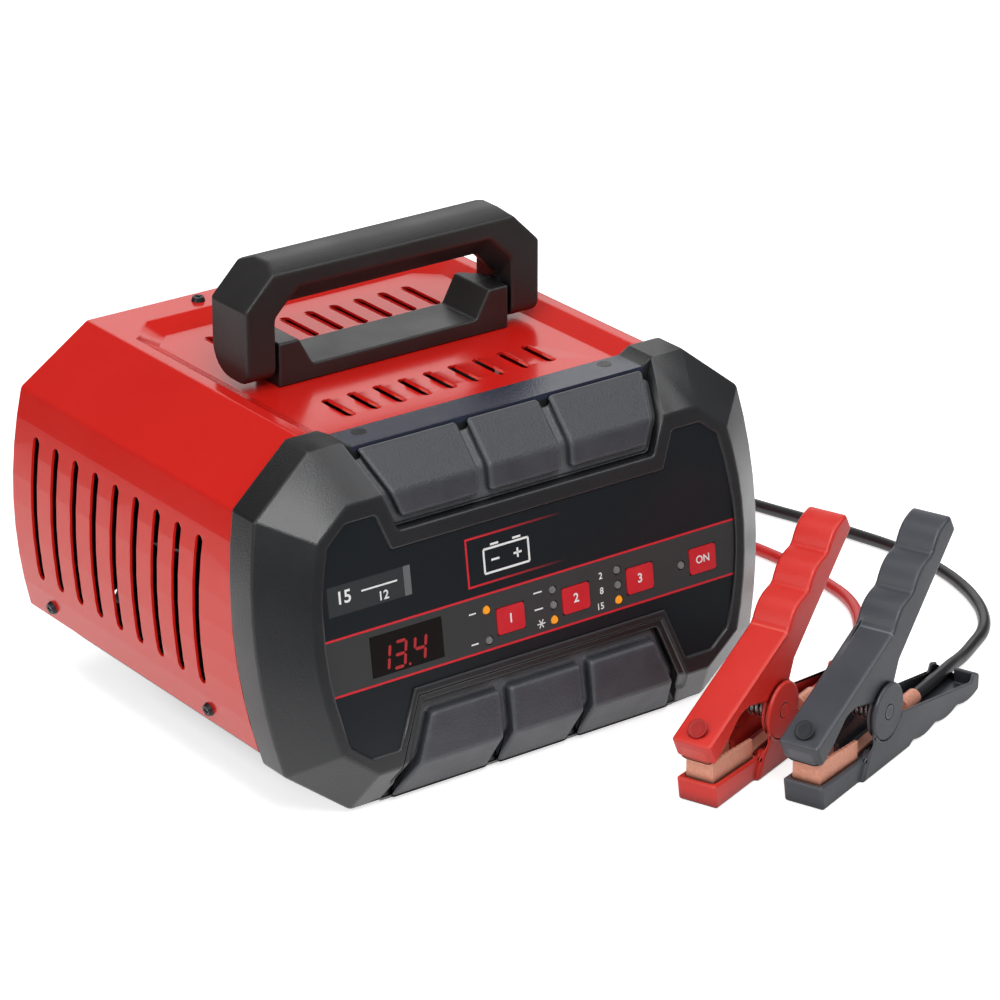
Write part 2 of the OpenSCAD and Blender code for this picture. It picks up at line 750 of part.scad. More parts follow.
module base_tray() color("#333333") difference() {
    union() {
        difference() {
            along_y(cover_front_y - 4, panel_y - gap) difference() {
                base_outline(0, 0);
                base_outline(base_t, 1);
            }
            ahead_of(border_depth + skirt_depth + gap);
        }
        box(-tray_tongue_half_w, tray_tongue_half_w, tray_tongue_y, tray_tongue_y + tray_tongue_l,
            base_z, base_z + base_t);
        box(-base_half_w + 8, base_half_w - 8, panel_y - gap - 1, panel_y + base_t, base_z, base_z + base_t);
    }
    foot_places() bore(clear_d, 0, cover_bottom_z);
    tray_screw_places() bore(tight_d, 0, cover_bottom_z);
    both_sides() for (y = side_screw_y) on_side_wall(y, side_screw_z) bore(tight_d, -8, 4);
}

module foot_shape() difference() {
    cylinder(d1 = foot_d - 2, d2 = foot_d, h = base_z, $fn = 48);
    bore(foot_d * 0.4, -1, 2.5, 32);
}
module feet() color("#1a1a1a") foot_places() {
    foot_shape();
    bore(screw_d, base_z - 1, base_z + base_t + 1);
    translate([0, 0, base_z + base_t + seat]) cylinder(d1 = screw_d + 2.4, d2 = screw_d, h = 1.6, $fn = 24);
}

// ---- rear panel ----

module panel_outline() {
    e = cover_t + base_t + 2 * gap;
    half = cover_corners(e);
    polygon(mirrored(concat(
        [[half[0].x, cover_top_z - cover_t - gap]],
        [for (k = [1:len(half) - 1]) half[k]],
        [[base_half_w - e * tan(22.5), base_z + base_t + gap]]
    )));
}

module fan_axis() translate([-fan_left, panel_y, fan_z]) rotate([-90, 0, 0]) children();
module fan_screw_places()
    for (x = [-1, 1], y = [-1, 1]) translate([x, y, 0] * fan_screw_pitch / 2) children();
module gland_places()
    for (x = [black_gland_x, red_gland_x])
        translate([x, panel_y + base_t, gland_z]) rotate([-90, 0, 0]) children();
module mains_place() translate([-mains_left, panel_y + base_t, gland_z]) rotate([-90, 0, 0]) children();

module rear_panel() color("#2b2b2b") difference() {
    union() {
        along_y(panel_y, panel_y + base_t) panel_outline();
        box(-rear_flange_half_w, rear_flange_half_w, panel_y - rear_flange_l, panel_y + 0.5,
            cover_top_z - cover_t - gap - base_t, cover_top_z - cover_t - gap);
    }
    fan_axis() bore(fan_w - 6, -1, 3, 64);
    fan_axis() fan_screw_places() bore(screw_d + 0.8, -1, 3);
    gland_places() bore(gland_d + 0.3, -4, 2, 32);
    mains_place() bore(mains_d + 0.3, -4, 2, 32);
    for (s = [-1, 1])
        translate([s * rear_screw_x, y_back - rear_screw_back, cover_top_z]) bore(tight_d, -10, 2);
    for (row = [0:vent_rows - 1], k = [0:vent_columns - 1])
        translate([vent_x + k * vent_pitch_x, 0, vent_z + row * vent_pitch_z])
            along_y(panel_y - 1, panel_y + base_t + 1) slot_outline(vent_l, vent_w);
}

module gland_shape(d, hole, nut_h, l) difference() {
    union() {
        bore(d, -base_t - 0.1, 0.1, 32);
        bore(d + 4, seat, nut_h + seat, 6);
        translate([0, 0, nut_h]) cylinder(d1 = d, d2 = min(d, hole + 2.4), h = l - nut_h, $fn = 32);
        bore(d + 3, -base_t - seat - 3, -base_t - seat, 32);
    }
    bore(hole, -10, 50, 32);
}
module lead_glands() color("#1c1c1c") gland_places() gland_shape(gland_d, lead_d - 0.8, 4, gland_l);
module mains_gland() color("#1c1c1c") mains_place() gland_shape(mains_d, 7, 2, rear_inset - 0.2);

// ---- fan ----

module fan_frame() color("#151515") fan_axis() translate([0, 0, -fan_depth]) difference() {
    union() {
        difference() {
            box(-fan_w / 2, fan_w / 2, -fan_w / 2, fan_w / 2, 0, fan_depth);
            bore(fan_w - 4, -1, fan_depth + 1, 64);
        }
        bore(fan_hub_d, 0, fan_plate_t, 48);
        for (a = [0, 90, 180, 270])
            rotate(a + 20) box(fan_hub_d / 2 - 1, fan_w / 2 - 0.8, -2, 2, 0, fan_plate_t);
        bore(8, 0, 10, 32);
    }
    fan_screw_places() bore(tight_d, -1, fan_depth + 1);
    bore(fan_shaft_d + 2 * pivot_play, fan_plate_t / 2, fan_depth, 32);
}

module fan_impeller() color("#151515") fan_axis() translate([0, 0, -fan_depth]) {
    difference() {
        bore(fan_hub_d, fan_plate_t + 1, fan_depth - 3, 48);
        bore(fan_hub_d - 4, fan_plate_t, fan_depth - 6, 48);
    }
    bore(fan_shaft_d, fan_plate_t / 2 + 0.5, fan_depth - 4, 32);
    intersection() {
        difference() {
            bore(fan_w - 6, fan_plate_t + 2, fan_depth - 4, 64);
            bore(fan_hub_d - 1, fan_plate_t + 1, fan_depth, 48);
        }
        for (k = [0:fan_blades - 1]) rotate(k * 360 / fan_blades)
            translate([fan_w / 4, 0, fan_depth / 2]) rotate([fan_pitch, 0, 0])
                cube([fan_w / 2, fan_depth + 5, fan_blade_t], center = true);
    }
}

module fan_guard() color("silver") fan_axis() translate([0, 0, base_t + guard_wire / 2 + seat]) {
    for (r = [guard_first_r:guard_step_r:fan_w * 0.46])
        rotate_extrude($fn = 64) translate([r, 0]) circle(d = guard_wire, $fn = 16);
    for (a = [45, 135, 225, 315]) rotate([0, 90, a])
        bore(guard_wire * 0.9, guard_first_r, fan_screw_pitch / sqrt(2) - 3, 16);
    fan_screw_places() difference() {
        bore(8, -guard_wire / 2, guard_wire / 2, 32);
        bore(screw_d + 0.6, -guard_wire, guard_wire);
    }
}

module fan_screws() color("#222222")
    fan_axis() fan_screw_places() translate([0, 0, base_t + guard_wire + 2 * seat])
        pan_screw(screw_d, fan_screw_l, head_d + 0.4, head_h - 0.6);

// ---- electronics ----

module power_board() color("#1f6b3a") difference() {
    box(-board_w / 2, board_w / 2, board_y - board_depth / 2, board_y + board_depth / 2,
        board_z, board_z + board_t);
    standoff_places() bore(standoff_pin_d + 0.4, 0, standoff_h + 10);
}
module board_standoffs() color("ivory") standoff_places() {
    bore(standoff_d, 0, standoff_h, 32);
    bore(standoff_pin_d, 0, standoff_h + board_t + 0.5);
    translate([0, 0, standoff_h + board_t])
        cylinder(d1 = standoff_pin_d + 1.4, d2 = standoff_pin_d, h = 1.6, $fn = 24);
}
module heat_sink() color("silver") translate([sink_x, sink_y, board_z + board_t]) {
    box(0, sink_w, 0, sink_back_t, 0, sink_h);
    for (k = [0:sink_fins - 1]) translate([k * (sink_w - sink_fin_t) / (sink_fins - 1), 0, 0])
        box(0, sink_fin_t, -sink_fin_l, 1, 0, sink_h);
}
module power_transistors() color("#202020")
    for (k = [0:3]) translate([sink_x + sink_w * (k + 0.5) / 4, sink_y + sink_back_t, board_z + board_t]) {
        box(-transistor_w / 2, transistor_w / 2, seat, transistor_tab_t,
            transistor_lead, transistor_lead + transistor_tab);
        box(-transistor_w / 2, transistor_w / 2, transistor_tab_t - 0.1, transistor_t,
            transistor_lead, transistor_lead + transistor_body);
        for (x = [-1, 0, 1] * transistor_w / 4) box(x - 0.4, x + 0.4, 2.2, 2.8, 0, transistor_lead + 1);
    }
module transformer_core() color("#3b3b3b") translate([core_x, core_y, board_z + board_t]) {
    difference() {
        box(-core_w / 2, core_w / 2, -core_depth / 2, core_depth / 2, 0, core_h);
        for (s = [-1, 1]) translate([s * core_w / 4, 0, core_h / 2])
            cube([core_w / 2 - core_leg, core_depth + 2, core_h - 2 * core_yoke], center = true);
    }
}
module transformer_winding() color("#c87533") translate([core_x, core_y, board_z + board_t + core_h / 2])
    difference() {
        wide = core_w - core_leg - 1;
        deep = core_depth + wide - core_leg;
        cube([wide, deep, core_h - 2 * core_yoke - 0.6], center = true);
        cube([core_leg + 0.4, core_depth + 0.4, core_h], center = true);
    }
module capacitors() color("#1b2f5a") {
    for (x = cap_x) translate([x, cap_y, board_z + board_t]) {
        bore(cap_d, 0, cap_h, 48);
        bore(cap_d - 3, cap_h - 0.5, cap_h + 0.5, 48);
    }
    for (x = small_cap_x) translate([x, cap_y, board_z + board_t]) bore(cap_d * 0.55, 0, cap_h / 2, 32);
}

// ---- bezel ----

// Outline of the bezel, moved inwards by i: X and height
function bezel_half(i) = concat(
    [[bezel_top_half_w - i * tan(top_cut / 2), bezel_top_z - i]],
    [for (k = [0:bow_n]) let (t = k / bow_n,
        upper = [bezel_half_w - i, bezel_corner_z - i * tan(45 - top_cut / 2)],
        lower = [bezel_low_half_w - i, bezel_low_corner_z + i * tan(45 - bottom_cut / 2)])
        upper + t * (lower - upper) + [bow_at(bezel_bow, t), 0]],
    [[bezel_bottom_half_w - i * tan(bottom_cut / 2), bezel_bottom_z + i]]
);
function bezel_ring(i, back) = [
    for (p = mirrored(bezel_half(i))) [p.x, face_y0 + back + tan(bezel_tilt) * p.y, p.y]];

// The bezel's outer form, with every surface moved inwards by w
module form(w) loft([
    bezel_ring(border_w + w * tan(border_angle / 2), w),
    bezel_ring(w, border_depth + w * tan(45 - border_angle / 2)),
    bezel_ring(w, border_depth + skirt_depth + (w == 0 ? 0 : 1))
]);

// Outline of the upper or lower pocket, grown by e
module upper_pocket(e)
    polygon(mirrored([
        [upper_pocket_half_w + e + (bezel_top_z + 5 - upper_pocket_z) * pocket_flare, bezel_top_z + 5],
        [upper_pocket_half_w + e - e * pocket_flare, upper_pocket_z - e]]));
module lower_pocket(e)
    polygon(mirrored([
        [lower_pocket_half_w + e - e * pocket_flare, lower_pocket_z + e],
        [lower_pocket_half_w + e + (lower_pocket_z + 5) * pocket_flare, -5]]));
module both_pockets(e) along_y(-far, 0) { upper_pocket(e); lower_pocket(e); }

module label_outline(e) difference() {
    intersection() {
        polygon(mirrored(bezel_half(border_w + frame_w + e)));
        translate([-far, label_low_z + e]) square([2 * far, label_high_z - label_low_z - 2 * e]);
    }
    upper_pocket(tab_frame + e);
    lower_pocket(tab_frame + e);
}

module key_places()
    for (k = [0:3]) translate([key_x(k), key_z / cos(bezel_tilt), 0]) children();
module lamps_at(list)
    for (p = list)
        translate([key_x(p[0]) - lamp_key_gap, (key_z + p[1] * lamp_row_pitch) / cos(bezel_tilt), 0])
            children();
module lamp_holes() on_face(0) lamps_at(concat(lit_lamp_list, unlit_lamp_list)) bore(lamp_d + 0.4, -6, 1);
module key_holes()
    in_face(6, 7) key_places() square([key_w + 2 * key_gap, key_h + 2 * key_gap], center = true);
module label_plate(back, t, e) in_face(back, t) scale([1, 1 / cos(bezel_tilt)]) label_outline(e);
module window_place() translate([-display_left, display_z / cos(bezel_tilt), 0]) children();
module post_places()
    for (x = [-post_x, post_x], z = [post_low_z, post_high_z])
        translate([x, z / cos(bezel_tilt), 0]) children();

module front_bezel() color("#2a2a2c") difference() {
    union() {
        difference() {
            form(0);
            difference() {
                form(bezel_wall);
                difference() {
                    intersection() { both_pockets(bezel_wall); ahead_of(border_depth + bezel_wall); }
                    form(pocket_depth + bezel_wall);
                }
                box(-band_half_w - 4, band_half_w + 4, -far, 0, field_z + gap, far);
            }
            difference() {
                intersection() { both_pockets(0); ahead_of(border_depth); }
                form(pocket_depth);
            }
            difference() {
                intersection() { along_y(-far, 0) lower_pocket(step_w); ahead_of(border_depth / 2); }
                form(step_depth);
            }
            along_y(-far, 0) polygon(mirrored([
                [band_half_w + (bezel_top_z + 1 - band_z) * 2, bezel_top_z + 1], [band_half_w, band_z]]));
        }
        on_face(0) post_places() bore(post_d, -board_back, 0.3 - bezel_wall, 32);
        tray_screw_places() bore(head_d + 3, bezel_bottom_z, base_z - seat, 32);
    }
    label_plate(label_recess, label_recess + 1, 0);
    key_holes();
    lamp_holes();
    in_face(6, 7) window_place() square([display_w - 3, display_h - 3], center = true);
    on_face(0) post_places() bore(post_screw_d + 0.1, -board_back - 1, -board_back + 6);
    band_screw_places() {
        bore(clear_d, -10, 2);
        translate([0, 0, -band_sink])
            cylinder(d1 = clear_d, d2 = head_d + 0.4, h = band_sink + 0.01, $fn = 32);
    }
    tray_screw_places() {
        bore(clear_d, 0, 12);
        bore(head_d + 1, 0, bezel_bottom_z + head_h + 0.6, 32);
    }
}

module bezel_screws() color("#222222") {
    band_screw_places() {
        bore(screw_d, -9, seat - band_sink);
        translate([0, 0, -band_sink]) cylinder(d1 = screw_d, d2 = head_d, h = band_sink, $fn = 32);
    }
    tray_screw_places() translate([0, 0, bezel_bottom_z + head_h + 0.6 - seat]) rotate([180, 0, 0])
        pan_screw(screw_d, 9, head_d, head_h);
    on_face(0) post_places() translate([0, 0, -board_back - board_t - seat]) rotate([180, 0, 0])
        pan_screw(post_screw_d, 6, 2 * post_screw_d, head_h);
}

// ---- bumpers ----

// Everything in the XZ plane between two heights, and up to a half width
module band(z0, z1, half = far) translate([-half, z0]) square([2 * half, z1 - z0]);

// Three pads between two heights, the outer two cut to the pocket's shrunk outline
module pads_outline(z0, z1) intersection() {
    union() {
        band(0, far, mid_pad_w / 2);
        difference() {
            children();
            band(0, far, mid_pad_w / 2 + pad_gap);
        }
    }
    band(z0, z1);
}

// Rubber pads that stand on a thin strip in the pocket
module bumper(sink) {
    difference() {
        intersection() { form(sink); along_y(-far, 0) children(0); ahead_of(border_depth - gap); }
        form(pocket_depth - gap);
    }
    difference() {
        intersection() {
            form(pocket_depth - pad_strip_t);
            along_y(-far, 0) children(1);
            ahead_of(border_depth - gap);
        }
        form(pocket_depth - gap);
    }
}
module upper_bumper() color("#1b1b1c") bumper(upper_pad_sink) {
    pads_outline(upper_pocket_z + pad_margin, pad_top_z) upper_pocket(-pad_margin);
    intersection() { upper_pocket(-2 * gap); band(0, pad_top_z); }
}
module lower_bumper() color("#1b1b1c") bumper(-lower_pad_proud) {
    pads_outline(pad_bottom_z, lower_pocket_z - pad_margin) lower_pocket(-pad_margin);
    intersection() { lower_pocket(-2 * gap); band(pad_bottom_z, far); }
}

// ---- control panel ----

module label_panel() color("#17191c") difference() {
    label_plate(label_recess, label_t, gap);
    key_holes();
    lamp_holes();
    in_face(6, 7) window_place() square([display_w + 0.3, display_h + 0.3], center = true);
}
module display_window() color("#3a0d10")
    in_face(label_recess, label_t) window_place() square([display_w, display_h], center = true);
module display_module() color("#20080a")
    in_face(board_back, board_back - label_recess - 0.3) window_place()
        square([display_w - 4, display_h - 4], center = true);

module control_board() color("#1f6b3a") difference() {
    on_face(0) translate([-control_board_half_w, board_low_z / cos(bezel_tilt), -board_back - board_t])
        cube([2 * control_board_half_w, (board_high_z - board_low_z) / cos(bezel_tilt), board_t]);
    on_face(0) post_places() bore(post_screw_d + 0.4, -board_back - 5, -board_back + 3);
}
module key_switches() color("#202020") on_face(0) key_places() translate([0, 0, -board_back]) {
    box(-switch_w / 2, switch_w / 2, -switch_w / 2, switch_w / 2, 0, switch_h);
    bore(switch_w * 0.55, 0, switch_h + 1);
}
module lamp_shape() {
    bore(lamp_d, -board_back, -label_recess);
    translate([0, 0, -label_recess])
        cylinder(d1 = lamp_d, d2 = lamp_d * 0.8, h = label_t + lamp_proud, $fn = 24);
}
module lit_lamps() color("orange") on_face(0) lamps_at(lit_lamp_list) lamp_shape();
module unlit_lamps() color("gray") on_face(0) lamps_at(unlit_lamp_list) lamp_shape();

// A key's cap, its flange behind the bezel and the stem over its switch
module key_shape(k) color("crimson") on_face(0) translate([key_x(k), key_z / cos(bezel_tilt), 0]) {
    wide = key_w / 2;
    high = key_h / 2;
    back = -bezel_wall - key_skirt;
    box(-wide, wide, -high, high, back, key_proud + label_t - label_recess);
    box(-wide - key_flange, wide + key_flange, -high - key_flange, high + key_flange,
        back, -bezel_wall - 0.3);
    translate([0, 0, -board_back + switch_h + 1 + key_travel + 0.15]) bore(5, 0, 2, 32);
}
module display_key() key_shape(0);
module battery_key() key_shape(1);
module ampere_key() key_shape(2);
module start_key() key_shape(3);

// ---- handle ----

function arc(c, r, a0, a1, n) = [
    for (k = [0:n]) let (a = a0 + (a1 - a0) * k / n) c + r * [cos(a), sin(a)]];

// Section across the handle: Y from its middle plane and height
module handle_section() polygon(concat(
    [[-handle_depth / 2 + grip_top_cut, handle_top_z], [-handle_depth / 2, handle_top_z - grip_top_drop]],
    arc([-handle_depth / 2 + leg_front_r, leg_bottom_z + leg_front_r], leg_front_r, 180, 270, 4),
    arc([handle_depth / 2 - leg_back_r, leg_bottom_z + leg_back_r], leg_back_r, 270, 360, 8),
    [[handle_depth / 2, handle_top_z - grip_top_drop], [handle_depth / 2 - grip_top_cut, handle_top_z]]
));
module opening_outline(up) polygon(mirrored([
    [handle_inner_half_w - opening_cut, handle_top_z - grip_h + up],
    [handle_inner_half_w, handle_top_z - grip_h - opening_cut + up],
    [handle_inner_half_w, leg_bottom_z - 5]]));
module thin_opening(y, up) along_y(y - 0.01, y + 0.01) opening_outline(up);
module both_hinges()
    translate([0, handle_y, hinge_z]) for (a = [-90, 90]) rotate([0, a, 0]) children();

module handle() color("#262424") difference() {
    intersection() {
        translate([0, handle_y, 0]) along_x(-far, far) handle_section();
        along_y(handle_y - handle_depth, handle_y + handle_depth) polygon(mirrored([
            [handle_outer - handle_corner - grip_top_drop, handle_top_z],
            [handle_outer, handle_top_z - handle_corner - grip_top_drop],
            [handle_outer, leg_bottom_z - 1]]));
    }
    along_y(handle_y - handle_depth, handle_y + handle_depth) opening_outline(0);
    for (s = [-1, 1]) hull() {
        thin_opening(handle_y + s * (handle_depth / 2 + 0.01), grip_low_cut);
        thin_opening(handle_y + s * (handle_depth / 2 - grip_low_cut), 0);
    }
    both_hinges() bore(hinge_pin_d + 2 * hinge_play, handle_inner_half_w - 1,
        handle_inner_half_w + pin_in_leg + 0.3, 48);
}
module handle_pins() color("silver")
    both_hinges() bore(hinge_pin_d, cradle_half - pin_in_cradle, handle_inner_half_w + pin_in_leg, 48);

module handle_base() color("#262424") difference() {
    along_y(handle_y - cradle_depth / 2, handle_y + cradle_depth / 2) polygon(mirrored([
        [cradle_half - cradle_block_w - (cradle_h - cradle_low_h) * 0.55, field_z + cradle_low_h],
        [cradle_half - cradle_block_w, field_z + cradle_h],
        [cradle_half, field_z + cradle_h],
        [cradle_half, field_z]]));
    both_hinges() bore(hinge_pin_d + 0.06, cradle_half - pin_in_cradle, cradle_half + 1, 48);
    cradle_screw_places() bore(tight_d, -cover_t - cradle_screw_l, 0);
    both_sides() translate([0, handle_y, field_z - 1]) linear_extrude(cradle_h + 2) polygon([
        [handle_inner_half_w, fold_cut_y], [handle_inner_half_w, handle_depth],
        [handle_inner_half_w - handle_depth + fold_cut_y, handle_depth]]);
}
module handle_screws() color("#222222")
    cradle_screw_places() translate([0, 0, seat])
        pan_screw(screw_d, cover_t + cradle_screw_l, head_d, head_h);

// ---- leads ----

// Direction of a path at one of its points
function path_dir(p, k) =
    k == 0 ? unit(p[1] - p[0])
    : k == len(p) - 1 ? unit(p[k] - p[k - 1])
    : unit(unit(p[k + 1] - p[k]) + unit(p[k] - p[k - 1]));
function path_length(p, k = 1) = k < len(p) ? norm(p[k] - p[k - 1]) + path_length(p, k + 1) : 0;

// A round tube along a path that never runs along the given upright
module tube(p, d, sides, upright = [0, 0, 1]) {
    rings = [for (k = [0:len(p) - 1]) let (
        t = path_dir(p, k), across = unit(cross(t, upright)), up = cross(across, t))
        [for (s = [0:sides - 1]) let (turn = s * 360 / sides)
            p[k] + d / 2 * (cos(turn) * across + sin(turn) * up)]];
    loft([for (k = [len(rings) - 1:-1:0]) rings[k]]);
}

// A lead's coil: it winds in on the upper layer and out again on the lower one
function coil_last(turns) = 720 * turns + 180;
function coil_point(c, turns, a0, a) = let (
    half = coil_last(turns) / 2, in_end = 360 * turns,
    radius = coil_r(turns) - coil_pitch * (half - abs(a - half)) / 360,
    fall = min(1, max(0, (a - in_end) / 180)))
    [c.x + radius * cos(a0 - a), c.y + radius * sin(a0 - a), coil_low_z + coil_pitch * (1 - fall)];
function coil_heading(a) = [sin(a), -cos(a), 0];
function coil_path(c, turns, a0) = let (last = coil_last(turns), step = 360 / coil_rings) concat(
    [coil_point(c, turns, a0, 0) - lead_d * coil_heading(a0)],
    [for (a = [0:step:last]) coil_point(c, turns, a0, a)],
    [coil_point(c, turns, a0, last) + lead_d * coil_heading(a0 - last)]);
function coil_gap(p) = min([
    for (j = [0:len(p) - 1], k = [0:len(p) - 1]) if (k - j > coil_rings / 2) norm(p[j] - p[k])]) - lead_d;

// A flat tie round all turns of a coil
module coil_tie(c, turns, a) {
    inner = coil_r(turns) - coil_pitch * (turns + 0.25) - lead_d / 2 - tie_room;
    outer = coil_r(turns) + lead_d / 2 + tie_room;
    low = coil_low_z - lead_d / 2 - 0.1;
    high = coil_low_z + coil_pitch + lead_d / 2 + tie_room;
    translate([c.x, c.y, 0]) rotate(a) rotate([90, 0, 0]) linear_extrude(tie_w, center = true) difference() {
        translate([inner - tie_t, low - tie_t]) square([outer - inner + 2 * tie_t, high - low + 2 * tie_t]);
        translate([inner, low]) square([outer - inner, high - low]);
    }
}

black_coil = coil_path(black_coil_c, black_coil_turns, black_coil_a);
red_coil = coil_path(red_coil_c, red_coil_turns, red_coil_a);
black_start = concat(black_start_points, [black_coil[0]]);
red_start = concat(red_start_points, [red_coil[0]]);
black_run = concat([last_of(black_coil)], black_points);
red_run = concat([last_of(red_coil)], red_points);

module black_lead_start() color("#1b1c20") tube(black_start, lead_d, 8);
module red_lead_start() color("#c01818") tube(red_start, lead_d, 8);
module black_lead_coil() color("#1b1c20") tube(black_coil, lead_d, 6);
module red_lead_coil() color("#c01818") tube(red_coil, lead_d, 6);
module black_lead() color("#1b1c20") tube(black_run, lead_d, 8);
module red_lead() color("#c01818") tube(red_run, lead_d, 8);
module coil_ties() color("#333333") for (a = tie_angles) {
    coil_tie(black_coil_c, black_coil_turns, black_coil_a + a);
    coil_tie(red_coil_c, red_coil_turns, red_coil_a + a);
}

// ---- clamps ----
// Local U runs from the jaws to the tail, V across and H up. Outlines are points in U and H.

module clamp_at(place) translate([place.x, place.y, 0]) rotate(clamp_angle) children();
module side_view(w) rotate([90, 0, 0]) linear_extrude(w, center = true) children();
module pivot_disc(w, r, sides = 64) side_view(w) translate(pivot) circle(r, $fn = sides);

// Finger ridges along a line, each a half wave
function ridges(from, to, n, height) = let (along = (to - from) / n, out = [-unit(along).y, unit(along).x])
    [for (k = [0:n - 1], t = [0:1 / 6:0.9]) from + along * (k + t) + out * height * sin(180 * t)];

lower_jaw_pts = [[0, 0], [-2.1, jaw_h], [36, 9.4], [40, 12], [46, 0]];
lower_tail_pts = concat(
    [[30, 0], [34, 9.3], [37.5, 14], pivot + [-8, 6], pivot, pivot + [10, 5], [tail_top_u, 19.4],
     [clamp_l - 7, 7.4], [clamp_l - 5.5, 10.8], [clamp_l, 9]],
    [for (k = [hump_n - 1:-1:0], t = [1:-1 / 6:0.1])
        [low_hump_u + (k + t) * (clamp_l - low_hump_u) / hump_n, low_hump_h * (1 - sin(180 * t))]],
    [[low_hump_u, low_hump_h], [low_hump_u - 3, 0]]);
upper_pts = concat(
    [[-1.8, 20.2], [-7, 29.8], neck - [0.6, 0.3]],
    ridges(neck, grip_end, hump_n, hump_h),
    [grip_end, grip_end + [4.6, -7.5], pivot + [12.3, 17.8], pivot + [8.3, 8.7], pivot, pivot + [-9, 6.6],
     [31, 33.6], [25, 35.2], [17.5, 34.2], [7.8, 26.4]]);

module lower_arm() difference() {
    union() {
        side_view(clamp_w) polygon(lower_jaw_pts);
        side_view(clamp_body_w) polygon(lower_tail_pts);
        pivot_disc(clamp_body_w + 2 * disc_raise, boss_r);
    }
    side_view(clamp_w - 2 * arm_wall) translate([arm_wall - 1.8, arm_wall]) square([44, far]);
    side_view(arm_room) polygon([
        [41, arm_wall], [tail_u, tail_floor_h], [clamp_l - 3, tail_floor_h], [clamp_l - 3, far], [20, far],
        [20, jaw_h + 1], [36, jaw_h + 0.6], [41, 9]]);
    pivot_disc(arm_room, boss_r + 0.5);
    box(clamp_l - 10, clamp_l + 10, strip_v - lead_end_room, clamp_w / 2 + 0.2, tail_floor_h, 20);
    pivot_disc(clamp_w * 2, pivot_d / 2 + 0.03, 48);
}

module upper_arm() difference() {
    union() {
        side_view(clamp_w) polygon(upper_pts);
        pivot_disc(clamp_w, boss_r - 0.8);
    }
    side_view(clamp_w - 2 * arm_wall) {
        intersection() {
            translate([arm_wall, -2.2]) polygon(upper_pts);
            translate([-1.5, -3]) polygon(upper_pts);
        }
        translate(pivot) circle(boss_r + 6, $fn = 64);
    }
    pivot_disc(clamp_w * 2, pivot_d / 2 + pivot_play, 48);
}

// Copper channel of the lower jaw, with its strip and crimp for the lead
module lower_jaw() {
    difference() {
        side_view(copper_w) polygon([[1, copper_h0], [1, 20], [8, 19.6], [32, 17.4], [33, copper_h0]]);
        side_view(copper_w - 2 * copper_t) translate([1 + copper_t, copper_h0 + copper_t]) square([40, 30]);
        for (k = [0:8]) translate([4.6 + 3.2 * k, 0, 20.4 - 0.28 * k])
            rotate([0, 45, 0]) cube([tooth, clamp_w, tooth], center = true);
    }
    translate([0, strip_v, 0]) side_view(strip_w) polygon([
        [30, copper_h0], [41, copper_h0], [tail_u, strip_h], [lead_end_u - crimp_l / 2, strip_h],
        [lead_end_u - crimp_l / 2, strip_h + copper_t], [tail_u, strip_h + copper_t],
        [41, copper_h0 + copper_t], [30, copper_h0 + copper_t]]);
    translate([0, lead_end_v, lead_end_h]) rotate([0, 90, 0])
        bore(lead_d + 1.4, lead_end_u - crimp_l, lead_end_u - seat, 32);
    box(lead_end_u - crimp_l, lead_end_u - crimp_l / 2, strip_v - strip_w / 2, strip_v + strip_w / 2,
        strip_h, lead_end_h);
}

module upper_jaw() difference() {
    side_view(copper_w) polygon([[1, 20.7], [8, 25.2], [17.5, 33], [24, 34.6], [24, 38.8], [1, 29]]);
    side_view(copper_w - 2 * copper_t)
        polygon([[1 + copper_t, 0], [60, 0], [60, 38.8], [24, 37.1], [1 + copper_t, 27.8]]);
    for (k = [0:4]) translate([3.6 + 3 * k, 0, 21.3 + 2.05 * k])
        rotate([0, 5, 0]) cube([tooth - 0.2, clamp_w, tooth - 0.2], center = true);
}

module clamp_pin() pivot_disc(clamp_body_w + 2 * disc_raise - gap, pivot_d / 2, 48);

// Torsion spring on the pin, with one straight end in each arm
module clamp_spring() {
    r = pivot_d / 2 + 0.6 + spring_wire / 2;
    last = spring_first - 360 * spring_turns + spring_between;
    pitch = spring_wire * 1.25;
    half = (spring_first - last) / 720 * pitch;
    function on_coil(t) = let (a = spring_first + (last - spring_first) * t)
        [pivot.x + r * cos(a), half * (2 * t - 1), pivot.y + r * sin(a)];
    echo(str("clamp spring: least gap between turns ", pitch - spring_wire));
    tube(concat(
        [on_coil(0) + spring_low_end],
        [for (k = [0:spring_rings]) on_coil(k / spring_rings)],
        [on_coil(1) + spring_high_end]), spring_wire, 6, [0, 1, 0]);
}

module black_lower_arm() color("#2c2e36") clamp_at(black_clamp) lower_arm();
module black_upper_arm() color("#2c2e36") clamp_at(black_clamp) upper_arm();
module black_lower_jaw() color("#d08a5c") clamp_at(black_clamp) lower_jaw();
module black_upper_jaw() color("#d08a5c") clamp_at(black_clamp) upper_jaw();
module black_pin() color("#2c2e36") clamp_at(black_clamp) clamp_pin();
module black_spring() color("silver") clamp_at(black_clamp) clamp_spring();
module red_lower_arm() color("#d8231d") clamp_at(red_clamp) lower_arm();
module red_upper_arm() color("#d8231d") clamp_at(red_clamp) upper_arm();
module red_lower_jaw() color("#d08a5c") clamp_at(red_clamp) lower_jaw();
module red_upper_jaw() color("#d08a5c") clamp_at(red_clamp) upper_jaw();
module red_pin() color("#d8231d") clamp_at(red_clamp) clamp_pin();
module red_spring() color("silver") clamp_at(red_clamp) clamp_spring();

echo(str("least gap in the coils: ", coil_gap(black_coil), ", ", coil_gap(red_coil)));
echo(str("black lead length: ", path_length(black_start) + path_length(black_coil) + path_length(black_run)));
echo(str("red lead length: ", path_length(red_start) + path_length(red_coil) + path_length(red_run)));

